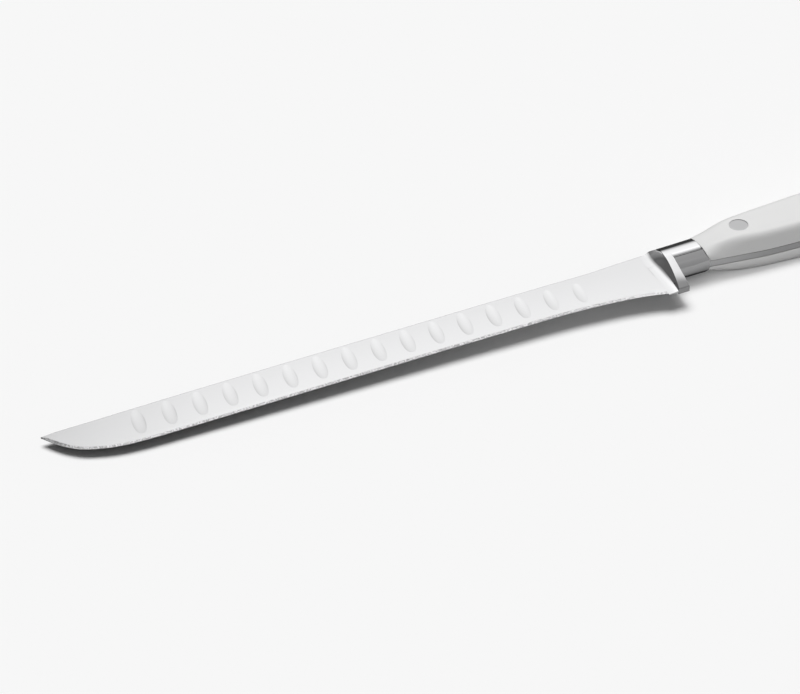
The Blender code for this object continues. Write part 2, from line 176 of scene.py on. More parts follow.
def closing_steps(start: float, run: float, count: int) -> list[float]:
    """Steps that close up towards the end of a run, without the first."""
    return [start + run * sine for sine, _ in quarter_turn(count)[1:]]


def bend(start: Point2, corner: Point2, end: Point2, count: int) -> Outline:
    """Round a corner off.

    Args:
        start: Where the round starts.
        corner: The sharp corner.
        end: Where the round ends.
        count: How many steps it takes.

    Returns:
        Points along the round, both ends included.
    """
    points = []
    for k in range(count + 1):
        t = k / count
        a, b, c = (1.0 - t) ** 2, 2.0 * t * (1.0 - t), t * t
        points.append(tuple(a * p + b * q + c * r for p, q, r in zip(start, corner, end)))
    return points


def straight(start: Point2, end: Point2, count: int) -> Outline:
    """Points along a straight line, without its two ends."""
    return [mixed(start, end, k / count) for k in range(1, count)]


def leaning(stations: Stations) -> Line:
    """A line across the knife, as x read from y."""
    return lambda y: flow(stations, y)


def shifted(x_of_y: Line, by: float) -> Line:
    """A leaning line moved along the knife."""
    return lambda y: x_of_y(y) + by


def between(near: Line, far: Line, t: float) -> Line:
    """A leaning line part of the way from one line to another."""
    return lambda y: lerp(near(y), far(y), t)


# Meshes


def skin(rings: Sequence[Ring]) -> bmesh.types.BMesh:
    """Stretch a closed skin over rings of points.

    Args:
        rings: Rings with equal numbers of points, in order along the piece.

    Returns:
        A closed bmesh with a cap on each end ring.
    """
    bm = bmesh.new()
    rows = [[bm.verts.new(point) for point in ring] for ring in rings]
    count = len(rows[0])
    for near, far in zip(rows, rows[1:]):
        for i in range(count):
            j = (i + 1) % count
            bm.faces.new((near[i], near[j], far[j], far[i]))
    bm.faces.new(list(reversed(rows[0])))
    bm.faces.new(rows[-1])
    return bm


def mirrored(x_of_y: Line, half: Outline) -> Ring:
    """Whole ring from an upper half section, with its x taken from y."""
    upper = [(x_of_y(y), y, z) for y, z in half]
    return upper + [(x, y, -z) for x, y, z in reversed(upper)]


def linked(name: str, data: bpy.types.ID) -> Object:
    """Put data into the scene, at the origin.

    Args:
        name: The object's name.
        data: Its mesh, lamp or camera data.

    Returns:
        The new object.
    """
    obj = bpy.data.objects.new(name, data)
    bpy.context.scene.collection.objects.link(obj)
    return obj


def shade(mesh: bpy.types.Mesh, bm: bmesh.types.BMesh, merge: float, sharp_angle: float) -> None:
    """Write a closed shape into a mesh, smooth-shaded and with its normals outward.

    Args:
        mesh: Gets the shape.
        bm: The shape; it is freed.
        merge: Points closer than this become one.
        sharp_angle: Edges that bend by more than this many degrees stay crisp.
    """
    bmesh.ops.remove_doubles(bm, verts=bm.verts, dist=merge)
    bmesh.ops.recalc_face_normals(bm, faces=bm.faces)
    bm.to_mesh(mesh)
    bm.free()
    mesh.shade_smooth()
    mesh.set_sharp_from_angle(angle=math.radians(sharp_angle))


def drawn(name: str, bm: bmesh.types.BMesh, materials: Sequence[Material], sharp_angle: float) -> Object:
    """Make a piece from a shape that is still straight.

    Args:
        name: The piece's name.
        bm: The shape, in the knife's straight frame; it is freed.
        materials: The finishes that the faces' material indices name.
        sharp_angle: Edges that bend by more than this many degrees stay crisp.

    Returns:
        The object, at the origin, not yet laid on its side.
    """
    mesh = bpy.data.meshes.new(name)
    shade(mesh, bm, DRAWN_MERGE, sharp_angle)
    for material in materials:
        mesh.materials.append(material)
    return linked(name, mesh)


def run_tree(obj: Object, name: str, tree: Tree, values: dict[str, object]) -> None:
    """Add a Geometry Nodes modifier and set its inputs by their sockets' identifiers.

    Args:
        obj: Gets the modifier.
        name: The modifier's name.
        tree: Its node tree.
        values: The tree's input names and what they get.
    """
    modifier = obj.modifiers.new(name, "NODES")
    modifier.node_group = tree
    for item in tree.interface.items_tree:
        if item.item_type == "SOCKET" and item.in_out == "INPUT" and item.name in values:
            modifier[item.identifier] = values[item.name]


def bake(obj: Object) -> None:
    """Turn an object's modifiers into a plain mesh and remove them.

    Args:
        obj: The object.
    """
    bpy.context.view_layer.update()
    graph = bpy.context.evaluated_depsgraph_get()
    mesh = bpy.data.meshes.new_from_object(obj.evaluated_get(graph), preserve_all_data_layers=True,
                                           depsgraph=graph)
    mesh.name = obj.name
    obj.modifiers.clear()
    obj.data = mesh


# Node graphs


class GraphMaker:
    """Adds nodes and links to one node tree."""

    def __init__(self, tree: Tree) -> None:
        """Work on a tree that is empty so far."""
        self.tree = tree
        self.column = 0

    def node(self, kind: str, inputs: Inputs | None = None, **settings: object) -> bpy.types.Node:
        """Add a node.

        Args:
            kind: The node's type name.
            inputs: Values or output sockets for its inputs, by name or number.
            settings: Properties of the node.

        Returns:
            The new node.
        """
        node = self.tree.nodes.new(kind)
        node.location = (self.column * 180, -(self.column % 5) * 160)
        self.column += 1
        for key, value in settings.items():
            setattr(node, key, value)
        for key, value in (inputs or {}).items():
            if isinstance(value, Socket):
                self.tree.links.new(value, node.inputs[key])
            else:
                node.inputs[key].default_value = value
        return node

    def geo(self, kind: str, output: str | int, inputs: Inputs | None = None, **settings: object) -> Socket:
        """One output of a new Geometry Nodes node."""
        return self.node("GeometryNode" + kind, inputs, **settings).outputs[output]

    def given(self) -> Outputs:
        """The inputs that the group gets."""
        return self.node("NodeGroupInput").outputs

    def group(self, tree: Tree, inputs: Inputs) -> Outputs:
        """Outputs of a shader node group."""
        return self.node("ShaderNodeGroup", inputs, node_tree=tree).outputs

    def place(self, kind: str = "Object") -> Socket:
        """The point that is shaded, or the direction that is looked in."""
        return self.node("ShaderNodeTexCoord").outputs[kind]

    def parts(self, vector: Socket) -> Outputs:
        """A vector's X, Y and Z."""
        return self.node("ShaderNodeSeparateXYZ", {0: vector}).outputs

    def combined(self, **parts: object) -> Socket:
        """Vector from its X, Y and Z, where what isn't given is 0."""
        return self.node("ShaderNodeCombineXYZ", parts).outputs["Vector"]

    def math(self, operation: str, *values: object) -> Socket:
        """Result of a Math node."""
        return self.node("ShaderNodeMath", dict(enumerate(values)), operation=operation).outputs[0]

    def vector(self, operation: str, *values: object) -> Socket:
        """Result of a Vector Math node."""
        return self.node("ShaderNodeVectorMath", dict(enumerate(values)), operation=operation).outputs[0]

    def noise(self, vector: Socket, scale: object, detail: float, **more: float) -> Socket:
        """Level of a noise texture."""
        inputs = {"Vector": vector, "Scale": scale, "Detail": detail, **more}
        return self.node("ShaderNodeTexNoise", inputs).outputs["Fac"]

    def ranged(self, value: object, low: float, high: float, out_low: object = 0.0, out_high: object = 1.0,
               kind: str = "SMOOTHSTEP") -> Socket:
        """Map a value from one range to another, held at its ends."""
        inputs = {"Value": value, "From Min": low, "From Max": high, "To Min": out_low, "To Max": out_high}
        return self.node("ShaderNodeMapRange", inputs, interpolation_type=kind).outputs["Result"]

    def levels(self, value: object, stops: Stations) -> Socket:
        """Read a level from stops, straight between them.

        Args:
            value: Where it is read.
            stops: (place, level) pairs in rising order, with levels below 2.

        Returns:
            The level.
        """
        first, last = stops[0][0], stops[-1][0]
        ramp = self.node("ShaderNodeValToRGB", {"Fac": self.ranged(value, first, last, kind="LINEAR")})
        elements = ramp.color_ramp.elements
        for index, (place, level) in enumerate(stops):
            share = (place - first) / (last - first)
            element = elements[index] if index < 2 else elements.new(share)
            element.position = share
            element.color = (0.5 * level,) * 3 + (1.0,)
        return self.math("MULTIPLY", ramp.outputs["Color"], 2.0)

    def coat(self, colour: Point3, tone: Socket, height: Socket, grain: float, **more: object) -> None:
        """End a material with a lone Principled shader.

        Args:
            colour: Base colour before the tone changes it.
            tone: Factor for the colour.
            height: Height of the fine grain.
            grain: How many metres a height of 1 stands for.
            more: The shader's other inputs.
        """
        scaled = self.node("ShaderNodeVectorMath", {0: colour, "Scale": tone}, operation="SCALE").outputs[0]
        bump = self.node("ShaderNodeBump", {"Height": height, "Distance": grain}).outputs["Normal"]
        shader = self.node("ShaderNodeBsdfPrincipled", {"Base Color": scaled, "Normal": bump, **more})
        self.node("ShaderNodeOutputMaterial", {"Surface": shader.outputs["BSDF"]})


def node_group(name: str, inputs: Inputs, outputs: Sequence[str], build: Build,
               kind: str = SHADER_TREE) -> Tree:
    """Make a node group once.

    Args:
        name: The group's name.
        inputs: Each input's name, with its number at rest or the kind of its socket.
        outputs: The outputs' names; a geometry tree's is geometry, a shader tree's are numbers.
        build: Fills the group through a GraphMaker.
        kind: Shader or geometry tree.

    Returns:
        The group, with its named inputs and outputs.
    """
    group = bpy.data.node_groups.get(name)
    if group is not None:
        return group
    group = bpy.data.node_groups.new(name, kind)
    for label, given in inputs.items():
        number = not isinstance(given, str)
        socket_kind = type(given).__name__.capitalize() if number else given
        socket = group.interface.new_socket(label, in_out="INPUT", socket_type="NodeSocket" + socket_kind)
        if number:
            socket.default_value = given
    if kind == GEOMETRY_TREE:
        group.is_modifier = True
    for label in outputs:
        socket_kind = "Geometry" if kind == GEOMETRY_TREE else "Float"
        group.interface.new_socket(label, in_out="OUTPUT", socket_type="NodeSocket" + socket_kind)
    build(GraphMaker(group))
    return group


# The patterns: how they are stretched, where their noise starts and is full, and what it gives
GRAIN_PATCHES = (0.3, 0.7, 0.55, 1.0)
WIPE_STRETCH = (35.0, 210.0, 120.0)
WIPE_RANGE = (0.58, 0.72)
WIPE_GLOSS = 0.35
EDGE_NOISE_SCALE = 900.0
EDGE_CURVE_RANGE = (0.52, 0.60)


def brushed_grain() -> Tree:
    """Fine parallel lines such as a belt or a wheel leaves, stretched along one direction."""

    def build(g: GraphMaker) -> None:
        """Lay the nodes.

        Args:
            g: The tree's maker.
        """
        given = g.given()
        lines = g.noise(g.vector("MULTIPLY", given["Vector"], given["Lines"]), 1.0, 3.0, Roughness=0.6)
        depth = g.ranged(g.noise(given["Vector"], given["Patch scale"], 2.0), *GRAIN_PATCHES)
        height = g.math("MULTIPLY", g.math("SUBTRACT", lines, 0.5), depth)
        tone = g.math("MULTIPLY_ADD", height, given["Contrast"], 1.0)
        g.node("NodeGroupOutput", {"Height": height, "Tone": tone})

    inputs = {"Vector": "Vector", "Lines": "Vector", "Patch scale": 60.0, "Contrast": 0.1}
    return node_group("brushed_grain", inputs, ("Height", "Tone"), build)


def handling_marks() -> Tree:
    """Slow drift of tone and gloss, with a few soft wipe marks, as clean handled surfaces have."""

    def build(g: GraphMaker) -> None:
        """Lay the nodes.

        Args:
            g: The tree's maker.
        """
        given = g.given()
        wiped = g.vector("MULTIPLY", given["Vector"], WIPE_STRETCH)
        marks = g.ranged(g.noise(wiped, 1.0, 4.0, Distortion=0.4), *WIPE_RANGE)
        drift = g.math("SUBTRACT", g.noise(given["Vector"], given["Scale"], 2.0), 0.5)
        tone = g.math("MULTIPLY_ADD", drift, given["Tone amount"], 1.0)
        both = g.math("ADD", drift, g.math("MULTIPLY", marks, WIPE_GLOSS))
        gloss = g.math("MULTIPLY_ADD", both, given["Gloss amount"], given["Roughness"])
        g.node("NodeGroupOutput", {"Tone": tone, "Roughness": gloss})

    inputs = {"Vector": "Vector", "Scale": 30.0, "Roughness": 0.3, "Tone amount": 0.05, "Gloss amount": 0.05}
    return node_group("handling_marks", inputs, ("Tone", "Roughness"), build)


def worn_edges() -> Tree:
    """Mask of the convex edges, where the colour is made a little lighter."""

    def build(g: GraphMaker) -> None:
        """Lay the nodes.

        Args:
            g: The tree's maker.
        """
        curved = g.node("ShaderNodeNewGeometry").outputs["Pointiness"]
        broken = g.noise(g.given()["Vector"], EDGE_NOISE_SCALE, 2.0)
        g.node("NodeGroupOutput", {"Mask": g.math("MULTIPLY", g.ranged(curved, *EDGE_CURVE_RANGE), broken)})

    return node_group("worn_edges", {"Vector": "Vector"}, ("Mask",), build)


def row_of_points(g: GraphMaker, given: Outputs) -> Socket:
    """Points in a straight row, as a cutting tree's inputs place them."""
    inputs = {"Count": given["Count"], "Start Location": given["First place"], "Offset": given["Step"]}
    return g.geo("MeshLine", "Mesh", inputs, mode="OFFSET")


def cut_row(g: GraphMaker, given: Outputs, cutters: dict[str, Socket], **chosen: Socket) -> None:
    """End a cutting tree: take a cutter out at each point, keep the rims crisp and set the finish.

    Args:
        g: The tree's maker.
        given: The tree's inputs.
        cutters: What puts a cutter on each point.
        chosen: A Selection of the faces that get the finish, if it isn't all of them.
    """
    tools = g.geo("RealizeInstances", 0, {"Geometry": g.geo("InstanceOnPoints", "Instances", cutters)})
    cut = g.node("GeometryNodeMeshBoolean", {"Mesh 1": given["Geometry"], "Mesh 2": tools},
                 operation="DIFFERENCE", solver="EXACT").outputs
    smoothed = g.geo("SetShadeSmooth", 0, {"Geometry": cut["Mesh"], "Shade Smooth": True}, domain="FACE")
    rims = {"Geometry": smoothed, "Selection": cut["Intersecting Edges"], "Shade Smooth": False}
    end_tree(g, given, g.geo("SetShadeSmooth", 0, rims, domain="EDGE"), **chosen)


def end_tree(g: GraphMaker, given: Outputs, geometry: Socket, **chosen: Socket) -> None:
    """End a tree with its geometry made real and its finish set.

    Args:
        g: The tree's maker.
        given: The tree's inputs.
        geometry: What the tree has made.
        chosen: A Selection of the faces that get the finish, if it isn't all of them.
    """
    real = g.geo("RealizeInstances", 0, {"Geometry": geometry})
    dressed = g.geo("SetMaterial", 0, {"Geometry": real, "Material": given["Finish"], **chosen})
    g.node("NodeGroupOutput", {"Geometry": dressed})


def geometry_tree(name: str, inputs: Inputs, build: Build) -> Tree:
    """Geometry Nodes tree that changes a mesh and dresses it in a finish."""
    every = {"Geometry": "Geometry", **inputs, "Finish": "Material"}
    return node_group(name, every, ("Geometry",), build, GEOMETRY_TREE)


# Finishes


def new_material(name: str) -> tuple[Material, GraphMaker]:
    """Make a material with an empty graph.

    Args:
        name: The finish's name.

    Returns:
        The material and its graph's maker.
    """
    made = bpy.data.materials.new(name)
    made.use_nodes = True
    made.node_tree.nodes.clear()
    return made, GraphMaker(made.node_tree)


@dataclass(frozen=True)
class Steel:
    """A steel finish: how bright, how rough and how its grain lies."""

    name: str
    tone: float
    roughness: float
    lines: Point3
    grain_height: float
    grain_contrast: float
    tone_amount: float = 0.03
    gloss_amount: float = 0.05
    tint: Point3 = (1.0, 1.0, 1.008)
    metallic: float = 1.0
    # Painted light and shade along the piece: tone by X, flat unless a finish gives levels
    along: Stations = ((-0.31, 1.0), (0.08, 1.0))

    def material(self) -> Material:
        """Build the finish."""
        made, g = new_material(self.name)
        place = g.place()
        part = g.parts(place)
        grain = g.group(brushed_grain(), {"Vector": place, "Lines": self.lines,
                                          "Contrast": self.grain_contrast})
        marks = g.group(handling_marks(), {
            "Vector": place, "Roughness": self.roughness, "Tone amount": self.tone_amount,
            "Gloss amount": self.gloss_amount})
        tone = self.shaded(g, part, g.math("MULTIPLY", grain["Tone"], marks["Tone"]))
        g.coat(tuple(self.tone * share for share in self.tint), tone, grain["Height"], self.grain_height,
               Roughness=self.gloss(g, part, marks["Roughness"]), Metallic=self.metallic)
        return made

    def shaded(self, g: GraphMaker, part: Outputs, tone: Socket) -> Socket:
        """Tone after the painted light and shade along the piece, if the finish has any."""
        return g.math("MULTIPLY", tone, g.levels(part["X"], self.along))

    def gloss(self, g: GraphMaker, part: Outputs, rough: Socket) -> Socket:
        """Roughness after any change of this finish along the piece."""
        return rough


@dataclass(frozen=True)
class PolishedSteel(Steel):
    """Polished steel that fades into the blade's satin at the foot of the finger guard."""

    satin_x: float = 0.0
    polished_x: float = 1.0
    satin_roughness: float = 0.2
    satin_tone: float = 0.7
    # Darker belly side towards the guard's end, partly brushed finish and partly painted shade that tones
    # down the band it mirrors: X where it starts, then tone by Y
    dull_x: Point2 = (-0.0572, -0.0566)
    brushed: Stations = ((-0.0178, 0.52), (-0.0171, 0.78), (-0.0075, 0.80), (-0.0045, 0.83), (-0.0025, 0.90),
                         (-0.0006, 1.0))

    def shaded(self, g: GraphMaker, part: Outputs, tone: Socket) -> Socket:
        """Blend from the blade's tone, and darken the belly side towards the guard's end: partly a brushed
        finish, partly painted shade.

        Args:
            g: The graph's maker.
            part: The place's X, Y and Z.
            tone: Tone of the even finish.

        Returns:
            The tone at the place.
        """
        blend = g.ranged(part["X"], self.satin_x, self.polished_x, self.satin_tone / self.tone, 1.0)
        # Painted shade, with the brushed finish: darker towards the guard's end
        brushed = g.math("SUBTRACT", g.levels(part["Y"], self.brushed), 1.0)
        belly_shade = g.math("MULTIPLY_ADD", g.ranged(part["X"], *self.dull_x), brushed, 1.0)
        return g.math("MULTIPLY", tone, g.math("MULTIPLY", blend, belly_shade))

    def gloss(self, g: GraphMaker, part: Outputs, rough: Socket) -> Socket:
        """Blend the roughness from satin to polished along the knife.

        Args:
            g: The graph's maker.
            part: The place's X, Y and Z.
            rough: Roughness of the even finish.

        Returns:
            The roughness at the place.
        """
        share = g.ranged(part["X"], self.satin_x, self.polished_x)
        satin = g.math("MULTIPLY", g.math("SUBTRACT", 1.0, share), self.satin_roughness)
        return g.math("ADD", satin, g.math("MULTIPLY", share, rough))


@dataclass(frozen=True)
class GroundEdge(Steel):
    """Coarse ground edge with bright and dark burrs, painted darker at the very tip and brighter towards the
    heel.
    """

    # Painted light and shade: tone by X, dark at the very tip and brighter towards the heel
    along: Stations = ((-0.306, 0.45), (-0.302, 0.60), (-0.296, 0.90), (-0.280, 0.95), (-0.170, 0.95),
                       (-0.130, 1.08), (-0.085, 1.10), (-0.062, 1.25), (-0.050, 1.25))
    speck_scale: Point3 = (1700.0, 1300.0, 1700.0)
    speck_amount: float = 0.40

    def shaded(self, g: GraphMaker, part: Outputs, tone: Socket) -> Socket:
        """Paint light and shade along the edge, and scatter bright and dark burrs over it.

        Args:
            g: The graph's maker.
            part: The place's X, Y and Z.
            tone: Tone of the even finish.

        Returns:
            The tone at the place.
        """
        burrs = g.noise(g.vector("MULTIPLY", g.place(), self.speck_scale), 1.0, 1.0)
        burr = g.ranged(burrs, 0.36, 0.64, 1.0 - self.speck_amount, 1.0 + 0.5 * self.speck_amount)
        return super().shaded(g, part, g.math("MULTIPLY", tone, burr))


@dataclass(frozen=True)
class MouldedWhite:
    """White moulded plastic with a satin skin."""

    name: str = "white_moulded_scale"
    colour: Point3 = (0.755, 0.755, 0.752)
    roughness: float = 0.36
    tone_amount: float = 0.02
    gloss_amount: float = 0.07
    drift_scale: float = 45.0
    skin_height: float = 0.000004
    ior: float = 1.46
    edge_gain: float = 0.02

    def material(self) -> Material:
        """Build the finish."""
        made, g = new_material(self.name)
        place = g.place()
        marks = g.group(handling_marks(), {
            "Vector": place, "Scale": self.drift_scale, "Roughness": self.roughness,
            "Tone amount": self.tone_amount, "Gloss amount": self.gloss_amount})
        height = g.math("MULTIPLY_ADD", g.noise(place, 420.0, 3.0), 0.6, g.noise(place, 5200.0, 2.0))
        edges = g.group(worn_edges(), {"Vector": place})
        tone = g.math("MULTIPLY_ADD", edges["Mask"], self.edge_gain, marks["Tone"])
        g.coat(self.colour, tone, height, self.skin_height, Roughness=marks["Roughness"], Metallic=0.0,
               IOR=self.ior)
        return made


# The knife's shared lines


@dataclass(frozen=True)
class KnifeLines:
    """Outlines and thicknesses that the knife's pieces share, in its straight frame."""

    spine_line: float = 0.0080
    bolster_length: float = 0.0182
    junction_bow: float = 0.0009
    junction_under_bow: float = 0.0017
    bow_heights: Point2 = (0.0015, 0.0027)
    under_bow_heights: Point2 = (0.0014, 0.0030)
    bolster_thickness: float = 0.0096
    bolster_rear_thickness: float = 0.0095
    tang_thickness: float = 0.0026
    scale_length: float = 0.1150
    scale_thickness: float = 0.0166
    scale_taper: float = math.radians(1.0)
    rise_length: float = 0.0150
    rise_power: float = 1.8
    butt_edge_radius: float = 0.0020
    butt_radius: float = 0.0065
    neck_to_spine: float = 0.0088
    # The handle's outlines: share of the scales' length, distance from the middle line
    spine_shape: Stations = ((0.0, neck_to_spine), (0.24, 0.01084), (0.50, 0.0118), (1.0, 0.0102))
    belly_shape: Stations = ((0.0, 0.0072), (0.14, 0.009644), (0.22, 0.010866), (0.44, 0.0119),
                             (0.68, 0.0110), (1.0 - butt_radius / scale_length, 0.0160), (1.0, 0.0160))
    rest_from_bolster: float = 0.0368
    rivet_line_y: float = 0.0005
    front_rivet_from_bolster: float = 0.0168
    rear_rivet_from_butt: float = 0.0200
    rise_rings: int = 30
    butt_rings: int = 24

    @property
    def butt_x(self) -> float:
        """X of the butt's end."""
        return self.bolster_length + self.scale_length

    @property
    def flat_start_x(self) -> float:
        """X where the scales' sides become flat."""
        return self.bolster_length + self.rise_length

    def outline(self, shape: Stations, x: float) -> float:
        """Distance from the middle line to one of the handle's outlines, rounded off at the butt."""
        stations = [(self.bolster_length + share * self.scale_length, away) for share, away in shape]
        return flow(stations, x) - quarter_drop(x - (self.butt_x - self.butt_radius), self.butt_radius)

    def spine(self, x: float) -> float:
        """Y of the handle's spine side at x."""
        return self.outline(self.spine_shape, x)

    def belly(self, x: float) -> float:
        """Y of the handle's belly side at x."""
        return -self.outline(self.belly_shape, x)

    def side_face(self, x: float) -> float:
        """Height of a scale's flat side over the middle plane."""
        return 0.5 * self.scale_thickness + (x - self.flat_start_x) * math.tan(self.scale_taper)

    def scale_height(self, x: float) -> float:
        """Height of a scale, with its rise at the front and its rounded butt edge.

        Args:
            x: Place on the knife.

        Returns:
            Height over the middle plane.
        """
        rise = 1.0 - (1.0 - held((x - self.bolster_length) / self.rise_length)) ** self.rise_power
        height = lerp(0.5 * self.bolster_rear_thickness, self.side_face(x), rise)
        return height - quarter_drop(x - (self.butt_x - self.butt_edge_radius), self.butt_edge_radius)

    def junction_x(self, z: float) -> float:
        """Find the joint of bolster and scales, which is bowed forward away from the tang.

        Args:
            z: Height over the middle plane, less than 0 on the under side.

        Returns:
            The joint's X.
        """
        (low, run), (under_low, under_run) = self.bow_heights, self.under_bow_heights
        bow = self.junction_bow * smooth((abs(z) - low) / run)
        return self.bolster_length - bow - self.junction_under_bow * smooth((-z - under_low) / under_run)

    def rivets(self) -> list[Point2]:
        """Centres of the front, middle and rear rivets."""
        front = self.bolster_length + self.front_rivet_from_bolster
        rear = self.butt_x - self.rear_rivet_from_butt
        return [(x, self.rivet_line_y) for x in (front, *even_steps(front, rear, 2))]

    def handle_places(self, flat_rings: int) -> list[float]:
        """Space rings along the handle, close in the rise and round the butt.

        Args:
            flat_rings: Rings between the rise and the butt.

        Returns:
            Their X places from bolster to butt.
        """
        last = self.butt_x - self.butt_radius
        places = [self.bolster_length] + even_steps(self.bolster_length, self.flat_start_x, self.rise_rings)
        places += even_steps(self.flat_start_x, last, flat_rings)
        return places + closing_steps(last, self.butt_radius, self.butt_rings)

    def lay(self, obj: Object) -> Object:
        """Lay a straight piece as the knife lies, on the flat side of its lower scale.

        Args:
            obj: The piece.

        Returns:
            The same piece.
        """
        rest_x = self.bolster_length + self.rest_from_bolster
        turn = Matrix.Rotation(-self.scale_taper, 4, "Y")
        rest = turn @ Vector((rest_x, 0.0, -self.side_face(rest_x)))
        obj.data.transform(Matrix.Translation(-rest) @ turn)
        return obj


@dataclass(frozen=True)
class Corners:
    """How a section turns from its face into its spine wall and its belly wall."""

    spine_inset: float
    spine_share: float
    spine_run: float
    belly_inset: float
    belly_share: float
    belly_run: float
    belly_drop: float
    spine_steps: int = 16
    face_steps: int = 10
    belly_steps: int = 18

    def half_section(self, spine: Point2, belly: Point2, height: float) -> Outline:
        """Upper half of an end-on section.

        Args:
            spine: The spine wall's foot.
            belly: The belly wall's foot.
            height: The face's height.

        Returns:
            (y, z) points from the spine wall's foot to the belly wall's foot.
        """
        spine_corner = (spine[0] - self.spine_inset, height)
        belly_corner = (belly[0] + self.belly_inset, height - self.belly_drop)
        face_start = (spine_corner[0] - self.spine_run, height)
        face_end = (belly_corner[0] + self.belly_run, height)
        spine_wall = mixed(spine_corner, spine, self.spine_share)
        belly_wall = mixed(belly_corner, belly, self.belly_share)
        points = [spine] + bend(spine_wall, spine_corner, face_start, self.spine_steps)
        points += straight(face_start, face_end, self.face_steps)
        points += bend(face_end, belly_corner, belly_wall, self.belly_steps)
        return points + [belly]


NECK_CORNERS = Corners(spine_inset=0.0020, spine_share=0.96, spine_run=0.0061, belly_inset=0.0004,
                       belly_share=0.97, belly_run=0.0042, belly_drop=0.0007)
SOFT_CORNERS = Corners(spine_inset=0.0020, spine_share=0.55, spine_run=0.0034, belly_inset=0.0017,
                       belly_share=0.42, belly_run=0.0022, belly_drop=0.0)


# The blade


@dataclass
class Hollows:
    """One side's row of oval hollows, cut by a Geometry Nodes tree."""

    count: int = 16
    pitch: float = 0.01195
    length: float = 0.0123
    width: float = 0.0047
    depth: float = 0.00019
    below_spine: float = 0.0082
    lean: float = math.radians(8.5)
    last_to_guard: float = 0.0361
    bulge: float = 0.0012
    far_side_shift: float = 0.5
    row_droop: float = 0.0023
    level_share: float = 0.27
    wall_power: Point2 = (0.72, 1.0)
    sides: int = 64

    @staticmethod
    def tree() -> Tree:
        """The tree: one cutter on each point of a line, taken out of the blade, with the rims kept crisp."""

        def build(g: GraphMaker) -> None:
            """Lay the nodes.

            Args:
                g: The tree's maker.
            """
            given = g.given()
            share = g.math("DIVIDE", g.geo("InputIndex", 0), g.math("SUBTRACT", given["Count"], 1.0))
            near_guard = g.math("MAXIMUM", g.math("SUBTRACT", given["Level share"], share), 0.0)
            bend_share = g.math("POWER", g.math("DIVIDE", near_guard, given["Level share"]), 2.0)
            droop = g.combined(Y=g.math("MULTIPLY", bend_share, given["Droop"]))
            drooped = g.geo("SetPosition", 0, {"Geometry": row_of_points(g, given), "Offset": droop})
            ball = g.geo("MeshUVSphere", "Mesh", {"Segments": given["Sides"], "Rings": given["Sides"],
                                                  "Radius": 1.0})
            at = g.parts(g.geo("InputPosition", 0))
            power = g.ranged(at["Y"], -1.0, 1.0, given["Edge-end power"], given["Spine-end power"], "LINEAR")
            size = g.math("POWER", g.math("ABSOLUTE", at["X"]), power)
            walled = g.combined(X=g.math("MULTIPLY", size, g.math("SIGN", at["X"])), Y=at["Y"], Z=at["Z"])
            wheel = g.geo("SetPosition", 0, {"Geometry": ball, "Position": walled})
            blank = g.node("FunctionNodeCompare", {2: g.geo("InputMaterialIndex", 0), 3: 0}, data_type="INT",
                           operation="EQUAL").outputs[0]
            cut_row(g, given, {"Points": drooped, "Instance": wheel, "Rotation": given["Turn"],
                               "Scale": given["Half size"]}, Selection=blank)

        inputs = {"Count": 16, "Sides": 64, "First place": "Vector", "Step": "Vector", "Turn": "Rotation",
                  "Half size": "Vector", "Droop": 0.0, "Level share": 0.3, "Edge-end power": 0.5,
                  "Spine-end power": 1.0}
        return geometry_tree("row_of_hollows", inputs, build)


